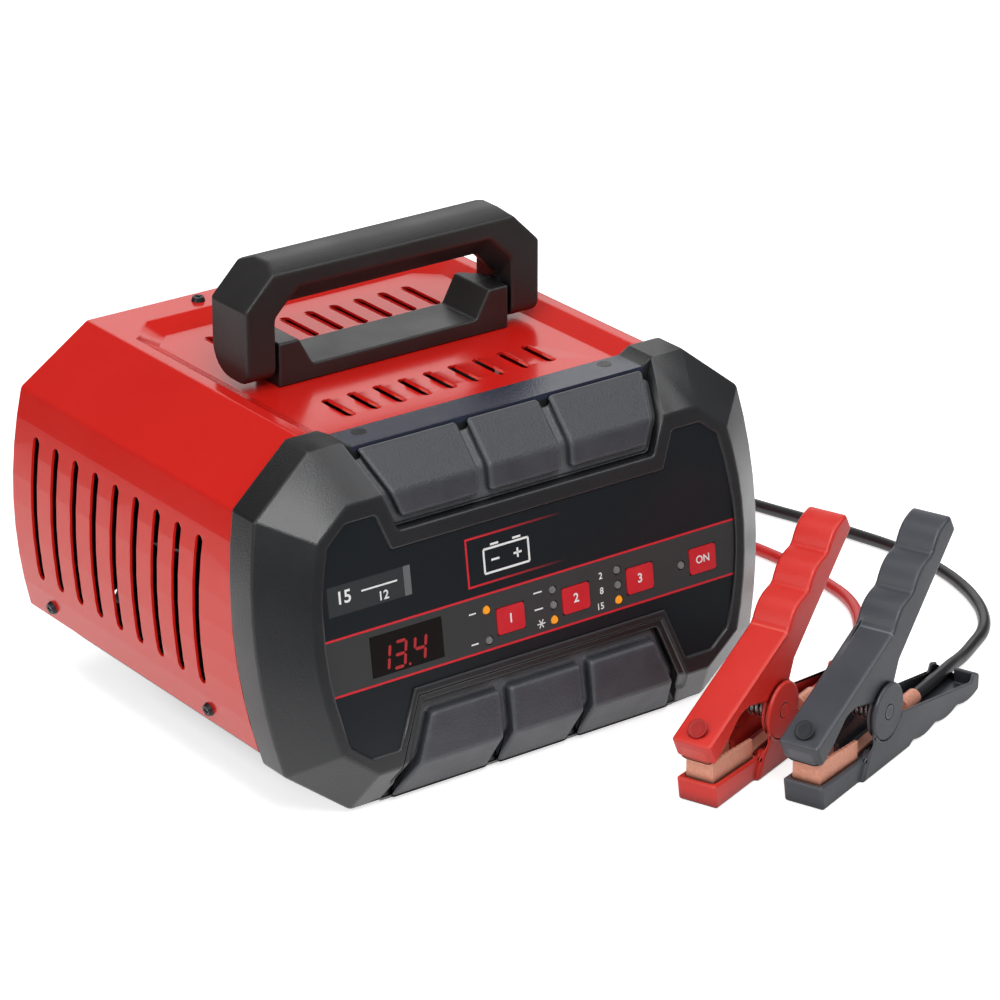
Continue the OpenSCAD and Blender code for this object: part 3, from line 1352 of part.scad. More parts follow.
cover();
base_tray();
rear_panel();
front_bezel();
upper_bumper();
lower_bumper();
label_panel();
display_window();
display_module();
control_board();
key_switches();
lit_lamps();
unlit_lamps();
display_key();
battery_key();
ampere_key();
start_key();
power_board();
board_standoffs();
heat_sink();
power_transistors();
transformer_core();
transformer_winding();
capacitors();
fan_frame();
fan_impeller();
fan_guard();
fan_screws();
handle();
handle_base();
handle_pins();
handle_screws();
feet();
cover_screws();
bezel_screws();
mains_gland();
lead_glands();
black_lead_start();
black_lead_coil();
black_lead();
red_lead_start();
red_lead_coil();
red_lead();
coil_ties();
black_lower_arm();
black_upper_arm();
black_lower_jaw();
black_upper_jaw();
black_pin();
black_spring();
red_lower_arm();
red_upper_arm();
red_lower_jaw();
red_upper_jaw();
red_pin();
red_spring();
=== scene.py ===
import math

import bmesh
import bpy
from mathutils import Matrix, Vector


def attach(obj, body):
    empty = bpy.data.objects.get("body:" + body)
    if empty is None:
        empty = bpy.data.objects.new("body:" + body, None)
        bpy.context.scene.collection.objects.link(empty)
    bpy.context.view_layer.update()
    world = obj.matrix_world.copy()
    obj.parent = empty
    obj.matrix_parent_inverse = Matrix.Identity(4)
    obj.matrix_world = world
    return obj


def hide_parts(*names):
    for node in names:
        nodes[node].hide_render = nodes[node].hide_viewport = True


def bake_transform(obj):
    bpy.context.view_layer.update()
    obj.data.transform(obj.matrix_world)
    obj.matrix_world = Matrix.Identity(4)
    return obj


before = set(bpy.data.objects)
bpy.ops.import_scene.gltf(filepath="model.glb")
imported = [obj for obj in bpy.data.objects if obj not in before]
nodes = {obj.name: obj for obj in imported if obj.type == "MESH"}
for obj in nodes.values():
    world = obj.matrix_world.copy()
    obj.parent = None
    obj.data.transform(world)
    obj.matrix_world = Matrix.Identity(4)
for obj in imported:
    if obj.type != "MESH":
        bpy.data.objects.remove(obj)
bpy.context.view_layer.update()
bpy.ops.object.select_all(action="DESELECT")

# ---- Camera ----
# A long lens to the left of the front and a little above it, on the case and
# both clamps.
bpy.ops.object.camera_add(
    location=(-0.9650, -1.3788, 0.8071),
    rotation=(math.radians(66.68), 0, math.radians(-36.40)),
)
camera = bpy.context.object
camera.name = "camera"
camera.data.lens = 158.2
camera.data.sensor_width = 36
camera.data.clip_start = 0.05
camera.data.clip_end = 30
bpy.context.scene.camera = camera
bpy.context.scene.view_settings.view_transform = "Standard"

# ---- Leads ----
# Two single-core leads in smooth soft PVC, 5.6 mm thick, one black and one
# red. Each leaves its gland, is wound into a flat coil in two layers behind
# the case, comes round the right side and ends in its clamp's crimp.
LEAD_THICK = 0.0056
COIL_PITCH = 6.4
COIL_LOW = 3.6
COIL_INNER = 30
COIL_STEP = 15


def coil_route(centre, turns, first):
    """Points of a coil in mm: in on the upper layer, out on the lower one"""
    last = 720 * turns + 180
    outer = COIL_INNER + COIL_PITCH * turns / 2

    def at(angle):
        radius = outer - COIL_PITCH * (last / 2 - abs(angle - last / 2)) / 360
        fall = min(1, max(0, (angle - 360 * turns) / 180))
        turn = math.radians(first - angle)
        return Vector((
            centre[0] + radius * math.cos(turn),
            centre[1] + radius * math.sin(turn),
            COIL_LOW + COIL_PITCH * (1 - fall),
        ))

    def heading(angle):
        turn = math.radians(angle)
        return Vector((math.sin(turn), -math.cos(turn), 0)) * LEAD_THICK * 1000

    round_it = [at(COIL_STEP * k) for k in range(int(last / COIL_STEP) + 1)]
    return [round_it[0] - heading(first)] + round_it + [round_it[-1] + heading(first - last)]


black_route = [
    (58, 117.2, 24), (58, 124, 23), (57.4, 132, 19), (53.5, 141, 14.5), (45, 147, 11.5),
    (33, 148.6, 10),
] + coil_route((15, 185), 2, 270) + [
    (33, 221.4, 3), (45, 221.4, 2.8), (58, 221.5, 2.8), (75, 221.5, 2.8), (92, 221, 2.8),
    (109, 220.5, 2.8), (126, 217.5, 2.8), (142, 211.5, 2.8), (157, 203, 2.8), (170, 192.5, 2.8),
    (181.5, 180, 2.8), (191.5, 166, 2.8), (200, 151, 2.8), (207, 136, 2.8), (213, 120, 2.8),
    (218.5, 104, 2.8), (223, 88, 2.8), (227.5, 72, 2.8), (231.5, 56, 2.8), (236, 40, 2.8),
    (241, 24, 2.8), (245.5, 8, 2.8), (249.5, -8, 2.8), (253, -24, 2.8), (254.5, -41, 2.8),
    (253.5, -58, 2.8), (250, -75, 2.8), (244.5, -90, 2.8), (236.5, -104, 2.8), (226, -115.5, 2.8),
    (213, -123.5, 2.8), (199, -131.6, 3.7), (185, -139.4, 6.3), (170, -146.5, 7), (161, -150.2, 7),
    (152.8, -153.4, 7),
]
red_route = [
    (88, 117.2, 24), (88.5, 122, 23.2), (89.4, 127, 20), (90, 131, 15), (89.5, 134.6, 11.5),
    (88, 137.97, 10),
] + coil_route((102, 175), 2.5, 233) + [
    (140.5, 193, 3), (152, 181, 2.8), (161.5, 167, 2.8), (169.5, 152, 2.8), (175.5, 136, 2.8),
    (180.5, 120, 2.8), (184.5, 104, 2.8), (188, 88, 2.8), (191, 72, 2.8), (194, 56, 2.8),
    (197, 40, 2.8), (200, 24, 2.8), (202.5, 8, 2.8), (204, -8, 2.8), (204.3, -24, 2.8),
    (203, -40, 2.8), (200, -56, 2.8), (193, -70.5, 2.8), (183, -83.5, 2.8), (172, -94.5, 2.8),
    (161, -105, 3.6), (149, -114.4, 6.2), (136, -120.6, 7), (128, -123.9, 7), (119.6, -127, 7),
]


def lay_lead(name, route):
    """A round lead along its route, as a curve of one open spline"""
    curve = bpy.data.curves.new(name, "CURVE")
    curve.dimensions = "3D"
    curve.resolution_u = 3
    curve.bevel_depth = LEAD_THICK / 2
    curve.bevel_resolution = 4
    curve.use_fill_caps = True
    line = curve.splines.new("BEZIER")
    line.bezier_points.add(len(route) - 1)
    for point, place in zip(line.bezier_points, route):
        point.co = Vector(place) / 1000
        point.handle_left_type = point.handle_right_type = "AUTO"
    lead = bpy.data.objects.new(name, curve)
    bpy.context.scene.collection.objects.link(lead)
    return lead


def finish_of(name, colour, roughness, **settings):
    """A material with its node tree and its shader, the plain sockets set"""
    material = bpy.data.materials.new(name)
    material.use_nodes = True
    tree = material.node_tree
    shader = tree.nodes["Principled BSDF"]
    shader.inputs["Base Color"].default_value = (*colour, 1)
    shader.inputs["Roughness"].default_value = roughness
    for socket, value in settings.items():
        shader.inputs[socket.replace("_", " ").title().replace("Ior", "IOR")].default_value = value
    return material, tree, shader


def put(tree, kind, inputs=None, **settings):
    """A node with its settings and its inputs, each a plain value or a socket"""
    made = tree.nodes.new(kind)
    for key, value in settings.items():
        setattr(made, key, value)
    for key, value in (inputs or {}).items():
        if isinstance(value, bpy.types.NodeSocket):
            tree.links.new(value, made.inputs[key])
        else:
            made.inputs[key].default_value = value
    return made


def result_of(tree, operation, *values):
    """The result of one arithmetic node"""
    return put(tree, "ShaderNodeMath", dict(enumerate(values)), operation=operation).outputs[0]


def tint(tree, mask, first, second):
    """A colour that goes from the first to the second as the mask rises"""
    mix = put(tree, "ShaderNodeMix", {"Factor": mask}, data_type="RGBA")
    for key, colour in ((6, first), (7, second)):
        if isinstance(colour, bpy.types.NodeSocket):
            tree.links.new(colour, mix.inputs[key])
        else:
            mix.inputs[key].default_value = (*colour, 1)
    return mix.outputs[2]


def new_group(name, inputs, outputs):
    """An empty shader group with its named sockets, and its two end nodes"""
    group = bpy.data.node_groups.new(name, "ShaderNodeTree")
    for key, value in inputs.items():
        group.interface.new_socket(key, in_out="INPUT", socket_type="NodeSocketFloat").default_value = value
    for key, kind in outputs.items():
        group.interface.new_socket(key, in_out="OUTPUT", socket_type=kind)
    return group, group.nodes.new("NodeGroupInput"), group.nodes.new("NodeGroupOutput")


# Soft mottling and fine relief of a moulded or dipped surface
surface_group, given, result = new_group(
    "moulded surface",
    {"Scale": 900, "Relief": 0.00004, "Mottle Scale": 30},
    {"Normal": "NodeSocketVector", "Mottle": "NodeSocketFloat"},
)
where = put(surface_group, "ShaderNodeTexCoord").outputs["Object"]
fine = put(surface_group, "ShaderNodeTexNoise", {
    "Vector": where, "Scale": given.outputs["Scale"], "Detail": 3,
})
wide = put(surface_group, "ShaderNodeTexNoise", {
    "Vector": where, "Scale": given.outputs["Mottle Scale"], "Detail": 4,
})
bump = put(surface_group, "ShaderNodeBump", {
    "Strength": 1, "Distance": given.outputs["Relief"], "Height": fine.outputs["Fac"],
})
surface_group.links.new(bump.outputs["Normal"], result.inputs["Normal"])
surface_group.links.new(wide.outputs["Fac"], result.inputs["Mottle"])


def surface_on(tree, shader, scale, relief, mottle_scale=30):
    """The moulded surface in one material; gives back its mottling"""
    made = put(tree, "ShaderNodeGroup", {}, node_tree=surface_group)
    for key, value in (("Scale", scale), ("Relief", relief), ("Mottle Scale", mottle_scale)):
        made.inputs[key].default_value = value
    tree.links.new(made.outputs["Normal"], shader.inputs["Normal"])
    return made.outputs["Mottle"]


def vary(tree, shader, mottle, low, high, first=None, second=None):
    """Lets the mottling move the roughness and, with two colours, the colour"""
    spread = put(tree, "ShaderNodeMapRange", {
        "Value": mottle, "From Min": 0.3, "From Max": 0.7, "To Min": low, "To Max": high,
    })
    tree.links.new(spread.outputs["Result"], shader.inputs["Roughness"])
    if first:
        colour = tint(tree, mottle, first, second)
        tree.links.new(colour, shader.inputs["Base Color"])
        return colour


# Masks for outer edges, tinted paler for wear and a painted highlight, and for grooves, tinted dark as
# painted shade
edge_group, given, result = new_group(
    "edges and grooves", {"Edge": 0.0012, "Groove": 0.006},
    {"Wear And Highlight": "NodeSocketFloat", "Open": "NodeSocketFloat"},
)
rim = put(
    edge_group, "ShaderNodeAmbientOcclusion", {"Distance": given.outputs["Edge"]},
    samples=6, inside=True, only_local=True,
)
deep = put(edge_group, "ShaderNodeAmbientOcclusion", {"Distance": given.outputs["Groove"]}, samples=6)
wear_and_highlight = put(edge_group, "ShaderNodeMapRange", {
    "Value": rim.outputs["AO"], "From Min": 0.97, "From Max": 0.55, "To Min": 0, "To Max": 1,
})
clear = put(edge_group, "ShaderNodeMapRange", {
    "Value": deep.outputs["AO"], "From Min": 0.25, "From Max": 0.8, "To Min": 0, "To Max": 1,
})
edge_group.links.new(wear_and_highlight.outputs["Result"], result.inputs["Wear And Highlight"])
edge_group.links.new(clear.outputs["Result"], result.inputs["Open"])


def edges_on(tree, edge, groove):
    """The edge and groove masks in one material"""
    made = put(tree, "ShaderNodeGroup", {}, node_tree=edge_group)
    made.inputs["Edge"].default_value = edge
    made.inputs["Groove"].default_value = groove
    return made.outputs["Wear And Highlight"], made.outputs["Open"]


lead_looks = {}
for colour_name, deep, light in (
    ("black", (0.012, 0.012, 0.014), (0.020, 0.020, 0.023)),
    ("red", (0.50, 0.012, 0.012), (0.66, 0.025, 0.022)),
):
    look, tree, shader = finish_of(f"{colour_name} lead", light, 0.35, specular_ior_level=0.55)
    vary(tree, shader, surface_on(tree, shader, 1400, 0.00002, 60), 0.28, 0.42, deep, light)
    lead_looks[colour_name] = look

black_lead = lay_lead("black_lead_run", black_route)
red_lead = lay_lead("red_lead_run", red_route)
for lead, colour_name in ((black_lead, "black"), (red_lead, "red")):
    lead.data.materials.append(lead_looks[colour_name])
    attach(lead, "charger")
    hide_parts(f"{colour_name}_lead_start", f"{colour_name}_lead_coil", f"{colour_name}_lead")

# Nylon ties round the coils and moulded rubber glands in the rear panel.
tie_look, tree, shader = finish_of("black nylon", (0.02, 0.02, 0.02), 0.45)
mottle = surface_on(tree, shader, 700, 0.00003)
vary(tree, shader, mottle, 0.38, 0.55, (0.016, 0.016, 0.017), (0.03, 0.03, 0.031))


def paint(look, *names):
    """Gives CAD nodes their material"""
    for name in names:
        nodes[name].data.materials.clear()
        nodes[name].data.materials.append(look)


paint(tie_look, "coil_ties", "lead_glands", "mains_gland")

# ---- Clamps ----
# Each clamp is two moulded arms on a pin with a steel torsion spring, and a
# pair of pressed copper jaws with teeth. The mouldings have softened edges
# and a plain round mark near the jaw.


def merged_copy(node, name, join_flats=True):
    """A copy of a CAD node with its points merged and its flat faces joined"""
    piece = nodes[node].copy()
    piece.data = nodes[node].data.copy()
    piece.name = piece.data.name = name
    piece.parent = None
    piece.matrix_world = Matrix()
    bpy.context.scene.collection.objects.link(piece)
    piece.data.materials.clear()
    bpy.ops.object.select_all(action="DESELECT")
    piece.hide_set(False)
    piece.select_set(True)
    bpy.context.view_layer.objects.active = piece
    bpy.ops.object.mode_set(mode="EDIT")
    bpy.ops.mesh.select_all(action="SELECT")
    bpy.ops.mesh.remove_doubles(threshold=0.000008)
    if join_flats:
        bpy.ops.mesh.dissolve_limited(angle_limit=math.radians(0.6))
    bpy.ops.mesh.select_all(action="SELECT")
    bpy.ops.mesh.normals_make_consistent(inside=False)
    bpy.ops.mesh.select_all(action="DESELECT")
    bpy.ops.object.mode_set(mode="OBJECT")
    return piece


def soften(piece, width, segments=3, wanted=None, sharpest=28):
    """Rounds the piece's edges that turn by more than the given angle"""
    bpy.ops.object.select_all(action="DESELECT")
    piece.select_set(True)
    bpy.context.view_layer.objects.active = piece
    bpy.ops.object.mode_set(mode="EDIT")
    bpy.ops.mesh.select_mode(type="EDGE")
    mesh = bmesh.from_edit_mesh(piece.data)
    for edge in mesh.edges:
        turns = len(edge.link_faces) == 2 and math.degrees(edge.calc_face_angle(0)) > sharpest
        ends = [vertex.co * 1000 for vertex in edge.verts]
        edge.select_set(turns and (wanted is None or wanted(*ends)))
    bmesh.update_edit_mesh(piece.data)
    bpy.ops.mesh.bevel(
        offset=width, offset_type="OFFSET", segments=segments, profile=0.5,
        clamp_overlap=False, loop_slide=True, miter_outer="ARC",
    )
    bpy.ops.mesh.select_all(action="DESELECT")
    bpy.ops.object.mode_set(mode="OBJECT")


def shade(piece, angle=35):
    """Smooth shading with creases, and normals that follow the large faces"""
    bpy.ops.object.select_all(action="DESELECT")
    piece.select_set(True)
    bpy.context.view_layer.objects.active = piece
    bpy.ops.object.shade_smooth_by_angle(angle=math.radians(angle))
    bpy.ops.object.modifier_add(type="WEIGHTED_NORMAL")
    piece.modifiers[-1].keep_sharp = True
    bpy.ops.object.modifier_apply(modifier=piece.modifiers[-1].name)


def stand_for(piece, node, look, body="charger"):
    """Lets a finished piece stand for its CAD node, on that node's body if one is given"""
    piece.data.materials.append(look)
    if body:
        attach(piece, body)
    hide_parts(node)


spring_look, tree, shader = finish_of("spring steel", (0.55, 0.55, 0.57), 0.3, metallic=1)
vary(tree, shader, surface_on(tree, shader, 2500, 0.00001, 200), 0.22, 0.4)

copper_look, tree, shader = finish_of("pressed copper", (0.83, 0.42, 0.27), 0.4, metallic=0.35)
mottle = surface_on(tree, shader, 1100, 0.00014, 700)
pressed = vary(tree, shader, mottle, 0.34, 0.62, (0.70, 0.25, 0.15), (1.0, 0.52, 0.38))
# Grooves and hollows of the jaws are tinted dark brown: painted shade.
clear = edges_on(tree, 0.0008, 0.006)[1]
colour = tint(tree, clear, (0.10, 0.022, 0.012), pressed)
tree.links.new(colour, shader.inputs["Base Color"])

clamp_looks = {}
mark_looks = {}
# Each colour: deep and light mottle, a paler edge tone for wear with a painted highlight, and the mark.
for colour_name, deep, light, edge_or_body_tone, mark in (
    ("black", (0.038, 0.041, 0.050), (0.062, 0.066, 0.080), (0.18, 0.185, 0.205), (0.014, 0.015, 0.020)),
    ("red", (0.58, 0.015, 0.009), (0.72, 0.026, 0.016), (0.80, 0.12, 0.08), (0.30, 0.008, 0.006)),
):
    look, tree, shader = finish_of(f"{colour_name} clamp", light, 0.4, specular_ior_level=0.6)
    mottle = surface_on(tree, shader, 1500, 0.00006, 45)
    moulded = vary(tree, shader, mottle, 0.28, 0.44, deep, light)
    # Outer edges go paler, for wear and a painted highlight; grooves go near-black as painted shade.
    wear_and_highlight, clear = edges_on(tree, 0.0013, 0.009)
    colour = tint(tree, result_of(tree, "MULTIPLY", wear_and_highlight, 0.55), moulded, edge_or_body_tone)
    colour = tint(tree, clear, [0.15 * value for value in deep], colour)
    tree.links.new(colour, shader.inputs["Base Color"])
    clamp_looks[colour_name] = look
    look, tree, shader = finish_of(f"{colour_name} clamp mark", mark, 0.5)
    mottle = surface_on(tree, shader, 1500, 0.00006, 300)
    vary(tree, shader, mottle, 0.42, 0.6, mark, [1.6 * value for value in mark])
    mark_looks[colour_name] = look

ARM_SLOPE = Vector((1, 0, 1.062)).normalized()
ARM_OUT = Vector((-ARM_SLOPE.z, 0, ARM_SLOPE.x))
MARK_PLACE = Vector((3.6, 0, 40.6)) / 1000 - ARM_SLOPE * 0.008
MARK_RADIUS = 0.0041
MARK_SUNK = 0.0009
MARK_THICK = 0.0006
# Each step of the mark's face: how far in from the last, and how far up
MARK_STEPS = ((0.0002, 0.0001), (0.0005, 0), (0.0003, -0.0002), (0.0014, 0), (0.0003, 0.0002))
CLAMP_TURN = Matrix.Rotation(math.radians(20.6), 4, "Z")
for colour_name, spot in (("black", (60.6, -192.3)), ("red", (27.4, -165.9))):
    home = Matrix.Translation(Vector((spot[0], spot[1], 0)) / 1000) @ CLAMP_TURN
    upper_body = f"{colour_name}_clamp_upper"
    for part, body, width, look in (
        ("lower_arm", "charger", 0.0011, clamp_looks[colour_name]),
        ("upper_arm", upper_body, 0.0015, clamp_looks[colour_name]),
        ("lower_jaw", "charger", 0.0002, copper_look),
        ("upper_jaw", upper_body, 0.0002, copper_look),
    ):
        node = f"{colour_name}_{part}"
        piece = merged_copy(node, node.replace("_", "-") + "-finished")
        soften(piece, width, 2 if "jaw" in part else 3)
        shade(piece)
        stand_for(piece, node, look, body)

    # The round mark: a low button with a raised rim and a dot, moulded into
    # the top face near the jaw.
    bpy.ops.mesh.primitive_circle_add(vertices=40, radius=MARK_RADIUS, fill_type="NGON")
    button = bpy.context.object
    bpy.ops.object.mode_set(mode="EDIT")
    bpy.ops.mesh.select_all(action="SELECT")
    bpy.ops.mesh.extrude_region_move(TRANSFORM_OT_translate={"value": (0, 0, MARK_THICK)})
    for width, rise in MARK_STEPS:
        bpy.ops.mesh.inset(thickness=width, depth=rise)
    bpy.ops.mesh.select_all(action="SELECT")
    bpy.ops.mesh.region_to_loop()
    bpy.ops.mesh.edge_face_add()
    bpy.ops.mesh.select_all(action="SELECT")
    bpy.ops.mesh.normals_make_consistent(inside=False)
    bpy.ops.object.mode_set(mode="OBJECT")
    button.name = f"{colour_name}-clamp-mark"
    seat = MARK_PLACE - ARM_OUT * MARK_SUNK
    stand = Matrix((
        (ARM_SLOPE.x, 0, ARM_OUT.x, seat.x),
        (ARM_SLOPE.y, 1, ARM_OUT.y, seat.y),
        (ARM_SLOPE.z, 0, ARM_OUT.z, seat.z),
        (0, 0, 0, 1),
    ))
    button.data.transform(home @ stand)
    button.matrix_world = Matrix()
    button.data.materials.append(mark_looks[colour_name])
    shade(button, 50)
    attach(button, upper_body)
    paint(clamp_looks[colour_name], f"{colour_name}_pin")

    # The spring stays whole on no body: its coil and both legs stay where they are.
    spring = merged_copy(f"{colour_name}_spring", f"{colour_name}-spring-wound", join_flats=False)
    shade(spring, 50)
    stand_for(spring, f"{colour_name}_spring", spring_look, None)
    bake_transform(spring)

# ---- Cover ----
# One folded steel sheet, 1.2 mm, with pressed louvers and a sunk field on
# top, stoved in a glossy red enamel with slight orange peel.
cover = merged_copy("cover", "cover-enamelled", join_flats=False)
shade(cover, 26)
enamel, tree, shader = finish_of(
    "red enamel", (0.60, 0.012, 0.009), 0.2, specular_ior_level=0.45, specular_tint=(1.0, 0.55, 0.42, 1),
    coat_weight=0.12, coat_roughness=0.07,
)
mottle = surface_on(tree, shader, 420, 0.00003, 12)
vary(tree, shader, mottle, 0.16, 0.26, (0.56, 0.010, 0.007), (0.63, 0.015, 0.010))
peel = put(tree, "ShaderNodeTexNoise", {
    "Vector": put(tree, "ShaderNodeTexCoord").outputs["Object"], "Scale": 260, "Detail": 2,
})
skin = put(tree, "ShaderNodeBump", {"Strength": 1, "Distance": 0.000012, "Height": peel.outputs["Fac"]})
tree.links.new(skin.outputs["Normal"], shader.inputs["Coat Normal"])
stand_for(cover, "cover", enamel)

# ---- Base and rear panel ----
# Folded steel in black powder coat, on four rubber feet. The rear panel has
# the fan's opening with its wire guard, a block of slots and the glands.
powder, tree, shader = finish_of("black powder coat", (0.02, 0.02, 0.021), 0.5)
mottle = surface_on(tree, shader, 2200, 0.00008)
vary(tree, shader, mottle, 0.45, 0.6, (0.016, 0.016, 0.017), (0.028, 0.028, 0.03))
paint(powder, "base_tray", "rear_panel")

foot_look, tree, shader = finish_of("foot rubber", (0.02, 0.02, 0.02), 0.75)
mottle = surface_on(tree, shader, 900, 0.00006)
vary(tree, shader, mottle, 0.65, 0.85, (0.014, 0.014, 0.014), (0.03, 0.03, 0.03))
paint(foot_look, "feet")

# Behind the slots a thin pad of black open-cell foam stands in for the shade inside the case: a dark sheet
# that keeps the view through the slots dark. It has rounded corners and a pressed rim.
shade_pad_look, tree, shader = finish_of("shade pad foam", (0.012, 0.012, 0.012), 0.9)
mottle = surface_on(tree, shader, 1600, 0.0004, 400)
vary(tree, shader, mottle, 0.8, 0.95, (0.006, 0.006, 0.006), (0.02, 0.02, 0.02))
PAD_WIDE, PAD_TALL, PAD_RIM_THICK = 0.078, 0.070, 0.0006
PAD_MIDDLE = Vector((0.050, 0.0999, 0.098))
bpy.ops.object.select_all(action="DESELECT")
bpy.ops.mesh.primitive_plane_add(size=1)
shade_pad = bpy.context.object
shade_pad.name = "vent-shade-pad"
shade_pad.data.transform(Matrix.Diagonal((PAD_WIDE, PAD_TALL, 1, 1)))
bpy.ops.object.mode_set(mode="EDIT")
bpy.ops.mesh.select_all(action="SELECT")
bpy.ops.mesh.bevel(offset=0.005, offset_type="OFFSET", segments=5, affect="VERTICES")
bpy.ops.mesh.select_all(action="SELECT")
bpy.ops.mesh.extrude_region_move(TRANSFORM_OT_translate={"value": (0, 0, PAD_RIM_THICK)})
for width, rise in ((0.0025, 0), (0.0010, 0.0008)):
    bpy.ops.mesh.inset(thickness=width, depth=rise)
bpy.ops.mesh.select_all(action="SELECT")
bpy.ops.mesh.normals_make_consistent(inside=False)
bpy.ops.object.mode_set(mode="OBJECT")
shade_pad.data.transform(Matrix.Translation(PAD_MIDDLE) @ Matrix.Rotation(math.pi / 2, 4, "X"))
shade_pad.matrix_world = Matrix()
shade_pad.data.materials.append(shade_pad_look)
shade(shade_pad, 40)
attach(shade_pad, "charger")

# ---- Screws ----
# Small pan-head and countersunk screws with a blackened finish. They hold the
# cover, the bezel, the handle's cradle and the fan.
black_screw, tree, shader = finish_of("blackened screw", (0.03, 0.03, 0.032), 0.35, metallic=0.6)
vary(tree, shader, surface_on(tree, shader, 3000, 0.00001, 300), 0.28, 0.5)
paint(black_screw, "cover_screws", "bezel_screws", "handle_screws", "fan_screws")

# ---- Front bezel ----
# Moulded in dark grey plastic with a fine leather grain. The border slopes
# back from the face, and the bumper pockets are cut into it.
bezel_look, tree, shader = finish_of(
    "grained case plastic", (0.018, 0.018, 0.02), 0.38, specular_ior_level=0.6, coat_roughness=0.27,
)
mottle = surface_on(tree, shader, 1300, 0.00016, 25)
grained = vary(tree, shader, mottle, 0.34, 0.44, (0.009, 0.0096, 0.0112), (0.016, 0.0170, 0.0195))
wear_and_highlight, clear = edges_on(tree, 0.0011, 0.005)
# The skirt behind the border is darker than the grained face, which alone has a faint clear coat.
FACE_COAT = 0.36
axes = put(tree, "ShaderNodeSeparateXYZ", {0: put(tree, "ShaderNodeTexCoord").outputs["Object"]}).outputs
behind = result_of(tree, "MULTIPLY_ADD", axes["Z"], -math.tan(math.radians(8)), axes["Y"])
skirt = put(tree, "ShaderNodeMapRange", {
    "Value": behind, "From Min": -0.0915, "From Max": -0.0905,
}).outputs["Result"]
colour = tint(tree, skirt, grained, (0.007, 0.007, 0.008))
tree.links.new(result_of(tree, "MULTIPLY_ADD", skirt, -FACE_COAT, FACE_COAT), shader.inputs["Coat Weight"])
# Outer edges tinted paler: wear with a painted highlight.
colour = tint(tree, result_of(tree, "MULTIPLY", wear_and_highlight, 0.55), colour, (0.11, 0.112, 0.12))
# The band between the bumper's pocket and the cover is glossier, and its blue tint is a painted reflection.
BAND_FROM, BAND_HALF = 0.145, 0.072
upper = result_of(tree, "GREATER_THAN", axes["Z"], BAND_FROM)
middle = result_of(tree, "COMPARE", axes["X"], 0.0, BAND_HALF)
band = result_of(tree, "MULTIPLY", upper, middle)
colour = tint(tree, band, colour, (0.016, 0.021, 0.042))
dulled = shader.inputs["Roughness"].links[0].from_socket
polish = result_of(tree, "MULTIPLY_ADD", band, -0.45, 1.0)
tree.links.new(result_of(tree, "MULTIPLY", dulled, polish), shader.inputs["Roughness"])
# Grooves tinted near-black: painted shade.
colour = tint(tree, clear, (0.003, 0.003, 0.003), colour)
tree.links.new(colour, shader.inputs["Base Color"])
bezel = merged_copy("front_bezel", "bezel-moulded")


def outer_edge(a, b):
    """Edges of the bezel's outside, not those of its holes"""
    mid = (a + b) / 2
    in_key_openings = abs(mid.x) < 104 and 50 < mid.z < 84 and mid.y < -88
    beside_notch = 55 < abs(mid.x) < 100 and max(a.z, b.z) > 140 and min(a.z, b.z) > 112
    return (a - b).length >= 1.5 and not in_key_openings and not beside_notch


soften(bezel, 0.0010, 3, outer_edge, sharpest=20)
shade(bezel, 32)
stand_for(bezel, "front_bezel", bezel_look)

# ---- Bumpers ----
# Soft black rubber, three pads on one strip at the top and at the bottom,
# pressed into the bezel's pockets.
rubber, tree, shader = finish_of("bumper rubber", (0.035, 0.035, 0.037), 0.48, specular_ior_level=0.7)
mottle = surface_on(tree, shader, 1000, 0.00030, 90)
edge_or_body_tone = vary(tree, shader, mottle, 0.40, 0.52, (0.031, 0.0325, 0.039), (0.056, 0.0585, 0.070))
# Outer edges go paler, for wear and a painted highlight; grooves go near-black as painted shade.
wear_and_highlight, clear = edges_on(tree, 0.0018, 0.005)
colour = tint(tree, result_of(tree, "MULTIPLY", wear_and_highlight, 0.7), edge_or_body_tone, (0.16, 0.165, 0.175))
colour = tint(tree, clear, (0.003, 0.003, 0.003), colour)
tree.links.new(colour, shader.inputs["Base Color"])
for node in ("upper_bumper", "lower_bumper"):
    pads = merged_copy(node, node.replace("_", "-") + "-moulded")
    soften(pads, 0.0016, 4, lambda a, b: (a - b).length > 1.2, sharpest=20)
    shade(pads, 35)
    stand_for(pads, node, rubber)

# ---- Label ----
# A printed plate in near-black with a grey band between two red lines, a
# plate for the rating at the left and a plain bracket above the keys.
label_look, tree, shader = finish_of("printed label", (0.012, 0.015, 0.018), 0.3, specular_ior_level=0.35)
mottle = surface_on(tree, shader, 2600, 0.00001, 20)
vary(tree, shader, mottle, 0.27, 0.36)
axes = put(tree, "ShaderNodeSeparateXYZ", {0: put(tree, "ShaderNodeTexCoord").outputs["Object"]}).outputs
across, height = axes["X"], axes["Z"]


def patch(left, right, low, high):
    """A mask that is 1 inside a printed box, its limits in mm"""
    wide = result_of(tree, "COMPARE", across, (left + right) / 2000, (right - left) / 2000)
    tall = result_of(tree, "COMPARE", height, (low + high) / 2000, (high - low) / 2000)
    return result_of(tree, "MULTIPLY", wide, tall)


LABEL_BLACK = (0.0105, 0.0135, 0.0165)
BAND_GREY = (0.042, 0.042, 0.043)
LINE_RED = (0.60, 0.018, 0.030)
PLATE_GREY, PLATE_END = (0.034, 0.036, 0.038), (0.13, 0.13, 0.135)
# The grey band, its two lines, then the rating's plate and its light end
colour = tint(tree, patch(-120, 120, 56.7, 79.6), LABEL_BLACK, BAND_GREY)
colour = tint(tree, patch(-120, 120, 79.2, 80.1), colour, LINE_RED)
colour = tint(tree, patch(-120, 120, 56.2, 57.1), colour, LINE_RED)
colour = tint(tree, patch(-99, -62.8, 88.9, 101), colour, PLATE_GREY)
colour = tint(tree, patch(-62.8, -59.5, 88.9, 101), colour, PLATE_END)
